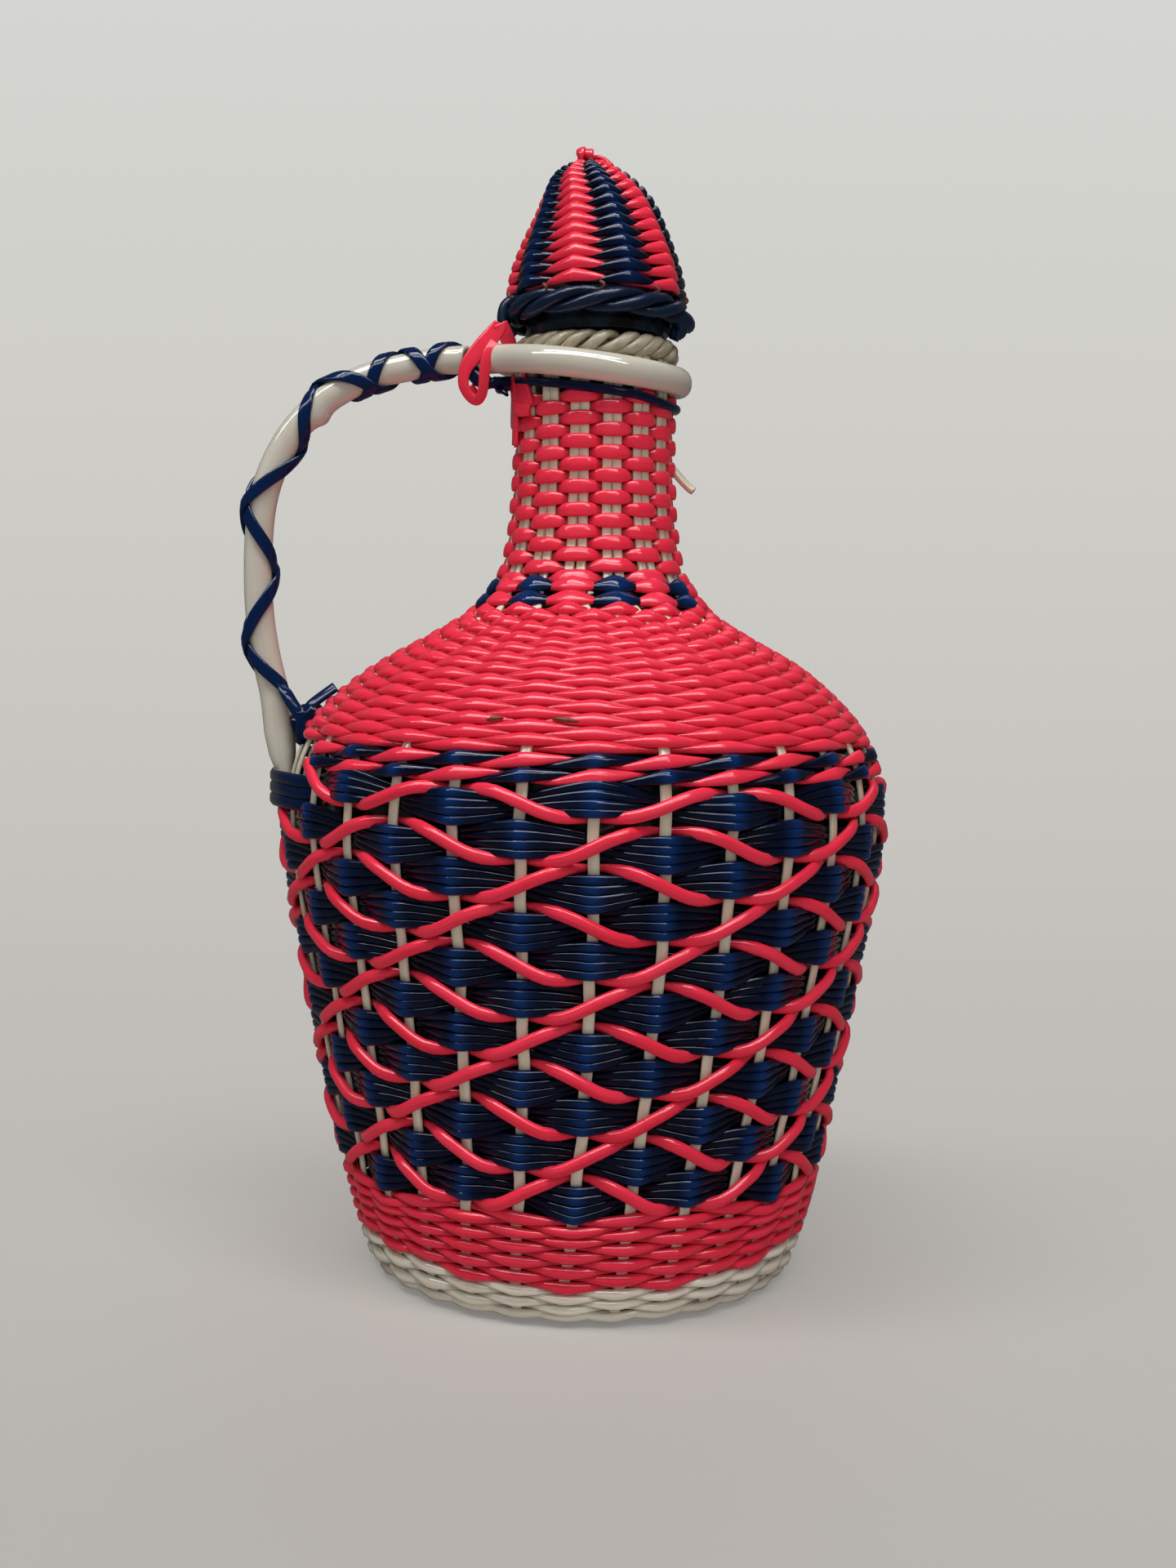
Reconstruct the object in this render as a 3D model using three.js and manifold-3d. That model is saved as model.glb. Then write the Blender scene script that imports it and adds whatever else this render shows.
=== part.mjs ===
// A wine carafe: a glass bottle dressed in woven plastic cord, with a tube handle and a woven stopper.
// Millimetres, +Z up. The origin is on the bottle's axis, on the surface that it stands on.
// The handle is on the -X side. Angles round the axis start at the front (-Y) and grow towards +X.

import * as THREE from 'three';
import { mergeVertices } from 'three/addons/utils/BufferGeometryUtils.js';
import Module from 'manifold-3d';

// Gap kept between pieces that touch
const fitGap = 0.3;

// Outer face of the weave, as radius and height
const weaveOutline = [
  [47.5, 0], [50.4, 3.2], [56.4, 18], [60, 32], [63.8, 50], [68.3, 74], [72.6, 98],
  [74.1, 114], [72.3, 125], [66.8, 136.4], [53.8, 148.6], [39.2, 157], [29.4, 163.4],
  [23.4, 171.5], [20.7, 183], [19.7, 200], [19.7, 216], [19.7, 232],
];

// Layers of the dressing, measured inwards from that face
const weaveThickness = 2.6;
const stakeThickness = 1.4;
const stakeGap = 0.7;
const stakeWidth = 2.6;
const stakeWidthOnNeck = 2;
const glassDepth = 6.4;
const glassWall = 3;

// Heights of the woven zones
const baseTop = 9.3;
const lowerTop = 26.4;
const bellyTop = 121.8;
const accentTop = 128.5;
const shoulderTop = 161.6;
const neckAccentTop = 168;
const neckWeaveTop = 211.8;
const stakeBottom = 3.2;
const stakeTop = 222.2;

// Stakes: evenly spread on the belly, gathered in pairs on the neck
const stakeCount = 29;
const firstStakeAngle = 0.85;
const neckColumns = 15;
const firstColumnAngle = -9;
const pairHalfAngle = 4.4;
const gatherLow = 156;
const gatherHigh = 168;

// Bands of the belly and shoulder: raised over one stake and sunk under the next
const bellyRows = 11;
const shoulderRows = 12;
const bandRaised = 0.2;
const bellySunk = 2;
const shoulderSunk = 1.5;
const bandRim = 1;
const bandFaceShare = 0.8;
const firstStakeOfTurn = -9;

// Base and glass
const matRadius = 44.6;
const glassBottom = 6.5;
const glassFloor = 4;
const lipHeight = 229.3;

// Braid round the mouth
const braidRadius = 18.6;
const braidBottom = 222.6;
const braidTop = 229;

// Handle: a tube of oval section, looped round the neck and tucked in at the belly
const tubeHalfHeight = 3.5;
const tubeHalfWidth = 2.9;
const ringRadius = 22.4;
const ringHeight = 222.5;
const ringSlopeX = -0.119;
const ringSlopeY = 0.158;
const ringStartAngle = -96;
const ringEndAngle = -62;
const handleRoute = [
  [-28.5, -4.6, 224.4], [-36, -1.4, 224.7], [-43.4, 0, 223.6], [-52.7, 0, 221.4], [-61.4, 0, 217.7],
  [-68.6, 0, 212.6], [-74, 0, 206.6], [-78, 0, 199.8], [-80.6, 0, 192.4], [-82, 0, 184],
  [-82.3, 0, 172], [-81.6, 0, 160], [-79.6, 0, 149], [-77.4, 0, 138], [-75.9, 0, 128],
  [-75.2, 0, 119], [-75.2, 0, 110.5],
];

// Winding on the handle: close turns at the top, long turns down the outside
const windingRadius = 0.95;
const windingTurns = 4.7;
const closePitch = 5;
const longPitch = 36;
const pitchChangeStart = 1;
const pitchChangeTurns = 1.5;
const windingStartX = -37.5;
const windingGap = 0.55;

// Small pieces
const cordRadius = 1;
const cordRingRadius = 20.8;
const cordHeight = 217.4;
const tieHalfWidth = 7;
const tieHalfHeight = 8.6;
const tieStrip = 1.9;
const tieDepth = 2.6;
const tieCentre = [-30.6, -3.6, 224.5];
const bindingBottom = 113.4;
const bindingTop = 122.2;
const bindingThickness = 1.2;
const bindingRoom = 0.8;
const knotRadius = 2.2;
const knotCentre = [-71, -1.5, 137.4];
const knotTailEnd = [-64.6, -3, 142.8];
const knotTailRadius = 1;
const stakeEndRadius = 1.1;
const stakeEndRoute = [[20.6, -2, 196], [25.4, -2.6, 192.8]];

// Stopper: plug, filled head, woven cap and braided border
const plugBottom = 204;
const plugRadius = 9.9;
const collarRadius = 16.4;
const collarTop = 232.8;
const headRadius = 17.2;
const capBottom = 238.6;
const capWall = 4;
const capOutline = [
  [22.7, 238.6], [21.6, 246], [19.2, 253], [16.6, 259.2], [13.2, 266.6],
  [9.4, 271.5], [4.4, 274.9], [0, 275.4],
];
const borderRadius = 20.7;
const borderHalfWidth = 3.1;
const borderHeight = 234.6;
const borderHalfHeight = 3.6;
const capKnotHeight = 277.2;
const capKnotRadius = 1.4;
const capKnotLength = 2;
const headGap = 0.4;

const wasm = await Module();
wasm.setup();

const paint = (color, roughness) => new THREE.MeshStandardMaterial({ color, roughness, metalness: 0 });
const finishes = {
  coral: paint('#f23f5e', 0.32),
  navy: paint('#10183c', 0.3),
  cream: paint('#d6cbb0', 0.4),
  tube: paint('#e6e2d4', 0.28),
  braid: paint('#b3a888', 0.5),
  dark: paint('#2a1d18', 0.7),
  glass: paint('#34493a', 0.1),
};

const carafe = new THREE.Group();
const stopper = new THREE.Group();
carafe.add(stopper);

function addPiece(parent, name, geometry, finish) {
  const mesh = new THREE.Mesh(geometry, finishes[finish]);
  mesh.name = name;
  parent.add(mesh);
  return mesh;
}

const radians = THREE.MathUtils.degToRad;

// A point at an angle round the axis, a radius and a height
function polar(angle, radius, height) {
  const turn = radians(angle);
  return new THREE.Vector3(radius * Math.sin(turn), -radius * Math.cos(turn), height);
}

// The outline as a fine polyline with its outward normals
function sampleOutline(points, samples) {
  const curve = new THREE.SplineCurve(points.map(([r, z]) => new THREE.Vector2(r, z)));
  return Array.from({ length: samples + 1 }, (_, i) => {
    const point = curve.getPoint(i / samples);
    const tangent = curve.getTangent(i / samples);
    return { point, normal: new THREE.Vector2(tangent.y, -tangent.x) };
  });
}

const outlineSamples = sampleOutline(weaveOutline, 800);

// The outline's place at one height of its outer face, moved inwards by a depth
function outlineAt(height, depth) {
  const next = outlineSamples.findIndex(({ point }) => point.y >= height);
  const after = outlineSamples[Math.max(next, 1)];
  const before = outlineSamples[Math.max(next, 1) - 1];
  const share = (height - before.point.y) / (after.point.y - before.point.y);
  const point = before.point.clone().lerp(after.point, share);
  const normal = before.normal.clone().lerp(after.normal, share).normalize();
  return point.addScaledVector(normal, -depth);
}

// Heights spread evenly between two limits
function spread(low, high, count) {
  return Array.from({ length: count }, (_, i) => low + (high - low) * i / (count - 1));
}

// A solid of revolution about Z. The profile runs anticlockwise with the radius to the right.
function turned(profile, segments, startAngle = 0) {
  const geometry = new THREE.LatheGeometry(profile, segments, radians(startAngle));
  geometry.rotateX(Math.PI / 2);
  return geometry;
}

// A shell of the dressing between two heights and two depths
function weaveShell(low, high, rows) {
  const heights = spread(low, high, rows);
  const outer = heights.map((z) => outlineAt(z, 0));
  const inner = heights.map((z) => outlineAt(z, weaveThickness)).reverse();
  return turned([...outer, ...inner, outer[0].clone()], stakeCount, firstStakeAngle);
}

// Heights that are evenly spread along the outline between two limits
function spreadAlong(low, high, count) {
  const stretch = outlineSamples.map(({ point }) => point).filter(({ y }) => y >= low && y <= high);
  const runs = [0];
  for (let i = 1; i < stretch.length; i += 1) {
    runs.push(runs[i - 1] + stretch[i].distanceTo(stretch[i - 1]));
  }
  return spread(0, runs[runs.length - 1], count).map((run) => {
    const nearest = runs.findIndex((other) => other >= run);
    return stretch[nearest < 0 ? stretch.length - 1 : nearest].y;
  });
}

// A shell whose rows of bands pass over and under the stakes in turn, counted from its top row
function wovenShell(low, high, rows, sunk, innerRings) {
  const edges = spreadAlong(low, high, rows + 1);
  const bands = edges.slice(1).flatMap((top, row) => {
    const margin = (top - edges[row]) * (1 - bandFaceShare) / 2;
    const depth = (count) => ((count + rows - 1 - row) % 2 === 0 ? bandRaised : sunk);
    return [edges[row] + margin, top - margin].map((height) => ({ height, depth }));
  });
  const rings = [
    { height: low, depth: () => bandRim },
    ...bands,
    { height: high, depth: () => bandRim },
    ...spread(low, high, innerRings).reverse().map((height) => ({ height, depth: () => weaveThickness })),
  ];
  const positions = rings.flatMap(({ height, depth }) => Array.from({ length: stakeCount }, (_, i) => {
    const count = firstStakeOfTurn + i;
    const place = outlineAt(height, depth(count));
    return polar(firstStakeAngle + 360 / stakeCount * count, place.x, place.y).toArray();
  })).flat();
  const index = rings.flatMap((_, ring) => Array.from({ length: stakeCount }, (__, i) => {
    const [lower, upper] = [ring * stakeCount, (ring + 1) % rings.length * stakeCount];
    const next = (i + 1) % stakeCount;
    return [lower + i, lower + next, upper + next, lower + i, upper + next, upper + i];
  })).flat();
  const geometry = new THREE.BufferGeometry();
  geometry.setAttribute('position', new THREE.Float32BufferAttribute(positions, 3));
  geometry.setIndex(index);
  return geometry;
}

function oval(halfX, halfY, points) {
  const shape = new THREE.Shape();
  shape.setFromPoints(Array.from({ length: points }, (_, i) => {
    const turn = 2 * Math.PI * i / points;
    return new THREE.Vector2(halfX * Math.cos(turn), halfY * Math.sin(turn));
  }));
  return shape;
}

function tube(path, shape, steps) {
  return new THREE.ExtrudeGeometry(shape, { steps, extrudePath: path, bevelEnabled: false });
}

// A flat strand along points, with its flat side square to the given normals
function flatStrand(stations) {
  const corners = [[-0.5, -0.5], [0.5, -0.5], [0.5, 0.5], [-0.5, 0.5]];
  const positions = [];
  stations.forEach(({ point, normal, side, width, thickness }) => {
    corners.forEach(([across, out]) => {
      const corner = point.clone().addScaledVector(side, across * width);
      positions.push(...corner.addScaledVector(normal, out * thickness).toArray());
    });
  });
  const index = [0, 1, 2, 0, 2, 3];
  const last = 4 * (stations.length - 1);
  index.push(last, last + 2, last + 1, last, last + 3, last + 2);
  for (let ring = 0; ring < last; ring += 4) {
    for (let k = 0; k < 4; k += 1) {
      const [a, b] = [ring + k, ring + (k + 1) % 4];
      index.push(a, a + 4, b, b, a + 4, b + 4);
    }
  }
  const geometry = new THREE.BufferGeometry();
  geometry.setAttribute('position', new THREE.Float32BufferAttribute(positions, 3));
  geometry.setIndex(index);
  return geometry;
}

// Joining and cutting of closed solids
function toSolid(geometry) {
  const bare = geometry.clone();
  bare.deleteAttribute('normal');
  bare.deleteAttribute('uv');
  const merged = mergeVertices(bare, 1e-4);
  return new wasm.Manifold(new wasm.Mesh({
    numProp: 3,
    vertProperties: new Float32Array(merged.attributes.position.array),
    triVerts: new Uint32Array(merged.index.array),
  }));
}

function toGeometry(solid) {
  const { vertProperties, triVerts } = solid.getMesh();
  const geometry = new THREE.BufferGeometry();
  geometry.setAttribute('position', new THREE.Float32BufferAttribute(vertProperties, 3));
  geometry.setIndex(new THREE.Uint32BufferAttribute(triVerts, 1));
  return geometry;
}

// Glass bottle, open at the mouth
function glassBottle() {
  const heights = [...spread(baseTop, 128, 5), ...spread(136, 172, 7), 186, 205];
  const outer = heights.map((z) => outlineAt(z, glassDepth));
  const inner = heights.map((z) => outlineAt(z, glassDepth + glassWall)).reverse();
  const neckOuter = outer[outer.length - 1].x;
  const neckInner = inner[0].x;
  const innerFloor = glassBottom + glassFloor;
  const heel = inner[inner.length - 1];
  return turned([
    new THREE.Vector2(0, glassBottom),
    new THREE.Vector2(outer[0].x - 6, glassBottom),
    ...outer,
    new THREE.Vector2(neckOuter, lipHeight),
    new THREE.Vector2(neckInner, lipHeight),
    ...inner,
    new THREE.Vector2(heel.x - 5, innerFloor),
    new THREE.Vector2(0, innerFloor),
  ], stakeCount, firstStakeAngle);
}

// Angle of a stake at a height: its own on the belly, its pair's on the neck
function stakeAngle(number, height) {
  const own = firstStakeAngle + 360 / stakeCount * number;
  const column = Math.ceil(number / 2);
  const alone = number === -(stakeCount - 1) / 2;
  const inPair = number % 2 === 0 ? pairHalfAngle : -pairHalfAngle;
  const gathered = firstColumnAngle + 360 / neckColumns * column + (alone ? 0 : inPair);
  return own + (gathered - own) * THREE.MathUtils.smoothstep(height, gatherLow, gatherHigh);
}

function stake(number) {
  const heights = [
    ...spread(stakeBottom, 110, 5), 121, 131, 139, 147, 154, 159, 163, 167, 174, 186, stakeTop,
  ];
  const depth = weaveThickness + stakeGap + stakeThickness / 2;
  return flatStrand(heights.map((z) => {
    const angle = stakeAngle(number, z);
    const place = outlineAt(z, depth);
    const face = outlineAt(z, depth - 1).sub(place);
    const share = THREE.MathUtils.smoothstep(z, gatherLow, gatherHigh);
    return {
      point: polar(angle, place.x, place.y),
      normal: polar(angle, face.x, face.y),
      side: polar(angle + 90, 1, 0),
      width: THREE.MathUtils.lerp(stakeWidth, stakeWidthOnNeck, share),
      thickness: stakeThickness,
    };
  }));
}

// Handle route: round the neck, over the arch and down to the foot
function ringPoint(angle, radius, height) {
  const point = polar(angle, radius, 0);
  point.z = height + ringSlopeX * point.x + ringSlopeY * point.y;
  return point;
}

function handlePath() {
  const sweep = 360 + ringStartAngle - ringEndAngle;
  const loop = spread(0, sweep, 15).map((turn) => ringPoint(ringStartAngle - turn, ringRadius, ringHeight));
  const arch = handleRoute.map((place) => new THREE.Vector3(...place));
  return new THREE.CatmullRomCurve3([...loop, ...arch], false, 'centripetal');
}

const handle = handlePath();
const handleSteps = 56;

function handleTube(allowance) {
  return tube(handle, oval(tubeHalfHeight + allowance, tubeHalfWidth + allowance, 10), handleSteps);
}

// The arch alone, walked by distance from the top close turn
const archSamples = handle.getSpacedPoints(600).filter((p, i, all) => i > 300 && p.x < windingStartX);
const archStep = handle.getLength() / 600;

// The winding runs round the arch on an oval just outside the tube
class Winding extends THREE.Curve {
  distance(turns) {
    const share = (turns - pitchChangeStart) / pitchChangeTurns;
    const eased = share <= 0 ? 0 : share < 1 ? share ** 3 - share ** 4 / 2 : share - 0.5;
    return closePitch * turns + (longPitch - closePitch) * pitchChangeTurns * eased;
  }

  getPoint(t, target = new THREE.Vector3()) {
    const turns = t * windingTurns;
    const place = this.distance(turns) / archStep;
    const low = Math.floor(place);
    const centre = archSamples[low].clone().lerp(archSamples[low + 1], place - low);
    const along = archSamples[low + 1].clone().sub(archSamples[low]).normalize();
    const across = new THREE.Vector3(0, 1, 0);
    const out = along.clone().cross(across).normalize();
    const clear = windingGap + windingRadius;
    const phase = 2 * Math.PI * turns;
    return target.copy(centre)
      .addScaledVector(across, -(tubeHalfWidth + clear) * Math.cos(phase))
      .addScaledVector(out, (tubeHalfHeight + clear) * Math.sin(phase));
  }
}

// Least gap of a winding to itself, between points over half a turn apart
function leastSelfGap(curve, turns, radius) {
  const perTurn = 48;
  const points = Array.from({ length: Math.round(turns * perTurn) + 1 }, (_, i) => (
    curve.getPoint(i / Math.round(turns * perTurn))
  ));
  let least = Infinity;
  points.forEach((point, i) => {
    points.slice(i + perTurn / 2).forEach((other) => {
      least = Math.min(least, point.distanceTo(other) - 2 * radius);
    });
  });
  return least;
}

// Loop of strip tied round the handle beside the neck
function tie() {
  const diamond = (halfWidth, halfHeight) => [
    new THREE.Vector2(halfWidth, 0), new THREE.Vector2(0, halfHeight),
    new THREE.Vector2(-halfWidth, 0), new THREE.Vector2(0, -halfHeight),
  ];
  const shape = new THREE.Shape(diamond(tieHalfWidth + tieStrip, tieHalfHeight + tieStrip));
  shape.holes.push(new THREE.Path(diamond(tieHalfWidth, tieHalfHeight)));
  const geometry = new THREE.ExtrudeGeometry(shape, { depth: tieDepth, bevelEnabled: false });
  geometry.translate(0, 0, -tieDepth / 2);
  geometry.rotateX(Math.PI / 2);
  geometry.rotateZ(Math.PI / 2 - 0.4);
  return geometry.translate(...tieCentre);
}

// Strands laid over the handle's foot, as one arched strap
function footBinding() {
  const centreX = handleRoute[handleRoute.length - 1][0];
  const arc = (acrossHalf, outwards) => spread(0, Math.PI, 9).map((turn) => (
    new THREE.Vector2(centreX - outwards * Math.sin(turn), acrossHalf * Math.cos(turn))
  ));
  const halfWidth = tubeHalfWidth + bindingRoom;
  const reach = tubeHalfHeight + bindingRoom;
  const inner = arc(halfWidth, reach);
  const outer = arc(halfWidth + bindingThickness, reach + bindingThickness);
  const shape = new THREE.Shape([...outer, ...inner.reverse()]);
  const depth = bindingTop - bindingBottom;
  const geometry = new THREE.ExtrudeGeometry(shape, { depth, bevelEnabled: false });
  return geometry.translate(0, 0, bindingBottom);
}

// A short cut end of strand
function strandEnd(from, to, radius) {
  const path = new THREE.LineCurve3(new THREE.Vector3(...from), new THREE.Vector3(...to));
  return tube(path, oval(radius, radius, 8), 2);
}

function wrapKnot() {
  const lump = new THREE.SphereGeometry(knotRadius, 8, 6);
  lump.translate(...knotCentre);
  const tail = strandEnd(knotCentre, knotTailEnd, knotTailRadius);
  return toGeometry(toSolid(lump).add(toSolid(tail)));
}

// Stopper pieces
const capSamples = sampleOutline(capOutline, 11);

function capWeave() {
  const outer = capSamples.map(({ point }) => point);
  const inner = capSamples.map(
    ({ point, normal }) => point.clone().addScaledVector(normal, -capWall),
  ).reverse();
  outer[outer.length - 1].x = 0;
  inner[0].x = 0;
  const foot = inner[inner.length - 1];
  foot.y = capBottom;
  return turned([...inner, ...outer], neckColumns * 2);
}

function stopperHead() {
  const face = capSamples.map(({ point, normal }) => (
    point.clone().addScaledVector(normal, -capWall - headGap)
  ));
  face[face.length - 1].x = 0;
  const bottom = collarTop + fitGap;
  return turned([
    new THREE.Vector2(0, bottom),
    new THREE.Vector2(headRadius, bottom),
    ...face.filter((p) => p.y > capBottom - 1),
  ], neckColumns * 2);
}

function stopperPlug() {
  return turned([
    new THREE.Vector2(0, plugBottom),
    new THREE.Vector2(plugRadius - 1, plugBottom),
    new THREE.Vector2(plugRadius, plugBottom + 2),
    new THREE.Vector2(plugRadius, lipHeight + fitGap),
    new THREE.Vector2(collarRadius, lipHeight + fitGap),
    new THREE.Vector2(collarRadius, collarTop),
    new THREE.Vector2(0, collarTop),
  ], stakeCount, firstStakeAngle);
}

// A ring of oval section round the axis
function ovalRing(radius, halfWidth, height, halfHeight, segments) {
  const profile = oval(halfWidth, halfHeight, 8).getPoints();
  const points = profile.map((p) => new THREE.Vector2(radius + p.x, height + p.y));
  points[points.length - 1] = points[0].clone();
  return turned(points, segments);
}

// Base
addPiece(carafe, 'base_mat', turned([
  new THREE.Vector2(0, 0),
  new THREE.Vector2(matRadius, 0),
  new THREE.Vector2(matRadius, glassBottom - fitGap),
  new THREE.Vector2(0, glassBottom - fitGap),
], stakeCount, firstStakeAngle), 'cream');
addPiece(carafe, 'base_border', weaveShell(0, baseTop, 4), 'cream');

// Bottle and stakes
addPiece(carafe, 'glass_bottle', glassBottle(), 'glass');
for (let i = 0; i < stakeCount; i += 1) {
  const number = i - (stakeCount - 1) / 2;
  addPiece(carafe, `stake_${String(i + 1).padStart(2, '0')}`, stake(number), 'cream');
}

// Woven zones, with the belly and accent rows let out round the handle's foot
const footRoom = toSolid(handleTube(fitGap));
const letOut = (geometry) => toGeometry(toSolid(geometry).subtract(footRoom));
addPiece(carafe, 'lower_weave', weaveShell(baseTop + fitGap, lowerTop, 3), 'coral');
addPiece(carafe, 'belly_weave', letOut(
  wovenShell(lowerTop + fitGap, bellyTop, bellyRows, bellySunk, 7),
), 'navy');
addPiece(carafe, 'accent_rows', letOut(weaveShell(bellyTop + fitGap, accentTop, 3)), 'navy');
addPiece(carafe, 'shoulder_weave', wovenShell(
  accentTop + fitGap, shoulderTop, shoulderRows, shoulderSunk, 9,
), 'coral');
addPiece(carafe, 'neck_accent', weaveShell(shoulderTop + fitGap, neckAccentTop, 5), 'navy');
addPiece(carafe, 'neck_weave', weaveShell(neckAccentTop + fitGap, neckWeaveTop, 6), 'coral');
const braidInner = outlineAt(braidBottom, glassDepth).x + fitGap;
const braidHalfWidth = (braidRadius - braidInner) / 2;
const braidHalfHeight = (braidTop - braidBottom) / 2;
addPiece(carafe, 'neck_braid', ovalRing(
  braidInner + braidHalfWidth, braidHalfWidth, braidBottom + braidHalfHeight, braidHalfHeight, stakeCount,
), 'braid');

// Handle with its winding, tie and binding
addPiece(carafe, 'handle_tube', handleTube(0), 'tube');
const winding = new Winding();
const windingSteps = Math.round(windingTurns * 24);
const windingSection = oval(windingRadius, windingRadius, 6);
addPiece(carafe, 'handle_winding', tube(winding, windingSection, windingSteps), 'navy');
const windingSelfGap = leastSelfGap(winding, windingTurns, windingRadius);
console.log('handle_winding least gap to itself', windingSelfGap.toFixed(2));
addPiece(carafe, 'handle_tie', tie(), 'coral');
addPiece(carafe, 'foot_binding', footBinding(), 'navy');
addPiece(carafe, 'winding_knot', wrapKnot(), 'navy');

// Cord under the neck loop, and one cut stake end beside the neck
const cordRing = new THREE.TorusGeometry(cordRingRadius, cordRadius, 6, 30);
const cord = addPiece(carafe, 'neck_cord', cordRing, 'navy');
const cordNormal = new THREE.Vector3(-ringSlopeX, -ringSlopeY, 1).normalize();
cord.quaternion.setFromUnitVectors(new THREE.Vector3(0, 0, 1), cordNormal);
cord.position.z = cordHeight;
addPiece(carafe, 'stake_end', strandEnd(...stakeEndRoute, stakeEndRadius), 'cream');

// Stopper
addPiece(stopper, 'stopper_plug', stopperPlug(), 'dark');
addPiece(stopper, 'stopper_head', stopperHead(), 'dark');
addPiece(stopper, 'cap_border', ovalRing(
  borderRadius, borderHalfWidth, borderHeight, borderHalfHeight, neckColumns * 2,
), 'navy');
addPiece(stopper, 'cap_weave', capWeave(), 'coral');
const knot = addPiece(stopper, 'cap_knot', new THREE.CapsuleGeometry(
  capKnotRadius, capKnotLength, 3, 8,
), 'coral');
knot.rotation.z = Math.PI / 2;
knot.position.z = capKnotHeight;

export default carafe;
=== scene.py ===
import math

import bpy
import numpy as np
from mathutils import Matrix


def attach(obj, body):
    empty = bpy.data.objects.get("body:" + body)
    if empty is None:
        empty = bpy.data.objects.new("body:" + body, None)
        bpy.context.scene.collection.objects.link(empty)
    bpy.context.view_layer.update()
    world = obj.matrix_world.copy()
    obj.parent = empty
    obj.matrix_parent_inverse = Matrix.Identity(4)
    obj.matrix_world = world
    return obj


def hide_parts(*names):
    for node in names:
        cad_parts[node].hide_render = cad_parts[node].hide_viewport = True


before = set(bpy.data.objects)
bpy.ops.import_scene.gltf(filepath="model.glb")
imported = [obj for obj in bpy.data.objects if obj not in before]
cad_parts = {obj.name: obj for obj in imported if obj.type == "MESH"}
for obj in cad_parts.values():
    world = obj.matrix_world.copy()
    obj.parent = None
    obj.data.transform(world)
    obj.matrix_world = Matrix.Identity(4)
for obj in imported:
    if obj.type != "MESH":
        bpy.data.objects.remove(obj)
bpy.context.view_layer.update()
scene = bpy.context.scene
mm = 0.001
fullTurn = 2 * math.pi
print("frame loaded:", len(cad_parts), "nodes")

# measures shared by the woven pieces, in millimetres and degrees
# angles round the axis start at the front (-Y) and grow towards +X
basket = {
    "outline": [(50, 0), (52.6, 2.6), (57.2, 15.6), (60.6, 29.6), (64.4, 47.7), (68.9, 71.8), (73.2, 95.9),
                (74.7, 112), (73.0, 122.9), (67.5, 134.4), (54.5, 146.7), (39.8, 155.2), (29.9, 161.6),
                (23.8, 169.8), (21.1, 181.4), (20.1, 198.4), (20.1, 214.5), (20.1, 232)],
    "stakes": 29,
    "firstStake": 0.85,
    "columns": 15,              # pairs of stakes on the neck
    "firstColumn": -11.0,
    "pairHalf": 3.6,
    "gather": (156, 168),       # heights between which the stakes close up into pairs
    # how far the middle of the stakes lies under the outline
    "depths": [(0, 2.2), (24, 2.4), (32, 3.2), (116, 3.2), (125, 2.5), (158, 2.1), (168, 1.6), (176, 1.3),
               (232, 1.3)],
    # the weave swells where the handle's foot is tucked in
    "swell": [(20, 0.6), (34, 2.2), (60, 2.7), (100, 3.2), (111, 3.2), (118, 2.8), (124, 2.4), (131, 1.7),
              (148, 0)],
    "swellAt": -90,
    "swellReach": 30,
    # degrees the whole weave leans round towards the foot
    "lean": [(0, -5.2), (14, -4.1), (21, -3.2), (36, -1.9), (44, -1.3), (60, -0.6), (84, 0)],
}
count = basket["stakes"]
halfRound = count / 2
# places along one step of a row, closer together where a strand bends over a stake
stepFractions = np.array([0, 0.045, 0.11, 0.21, 0.35, 0.5, 0.65, 0.79, 0.89, 0.955])
drifting = {"waves": 5, "shortest": 1.7, "growth": 1.63, "phases": 6.28, "weakest": 0.6, "sum": 2.2}


def smooth(x):
    x = np.clip(x, 0.0, 1.0)
    return x * x * (3 - 2 * x)


def fade(x, start, reach):
    # 1 up to the start, then easing down to 0
    return 1 - smooth((x - start) / reach)


def unit(v):
    return v / np.maximum(np.linalg.norm(v, axis=-1, keepdims=True), 1e-9)


def splineThrough(points, perSpan):
    p = np.array(points, float)
    p = np.vstack([p[:1], p, p[-1:]])
    t = np.linspace(0, 1, perSpan, endpoint=False)[:, None]
    spans = []
    for a, b, c, d in zip(p, p[1:], p[2:], p[3:]):
        u, v = (c - a) / 2, (d - b) / 2
        spans.append((2 * b - 2 * c + u + v) * t ** 3 + (3 * c - 3 * b - 2 * u - v) * t ** 2 + u * t + b)
    return np.vstack(spans + [p[-1:]])


def runsAlong(points):
    return np.concatenate([[0], np.cumsum(np.linalg.norm(np.diff(points, axis=0), axis=1))])


def aroundAxis(radius, turn, height):
    return np.stack(np.broadcast_arrays(radius * np.sin(turn), -radius * np.cos(turn), height), axis=-1)


def awayFromAxis(points):
    return unit(points * np.array([1, 1, 0]))


def makeSkin(points):
    line = splineThrough(points, 24)
    step = unit(np.gradient(line, axis=0))
    return {"r": line[:, 0], "z": line[:, 1], "outR": step[:, 1], "outZ": -step[:, 0], "run": runsAlong(line)}


def laidOn(skin, turn, run, lift):
    # places on a round skin: the angle, the way up along its outline, and the lift off it
    turn = np.radians(np.asarray(turn, float))
    run = np.broadcast_to(run, turn.shape)
    r, z, outR, outZ = (np.interp(run, skin["run"], skin[key]) for key in ("r", "z", "outR", "outZ"))
    return aroundAxis(r + lift * outR, turn, z + lift * outZ), aroundAxis(outR, turn, outZ)


skin = makeSkin(basket["outline"])


def runAt(height):
    return np.interp(height, skin["z"], skin["run"])


def byHeight(key, level):
    return np.interp(level, *zip(*basket[key]))


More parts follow.
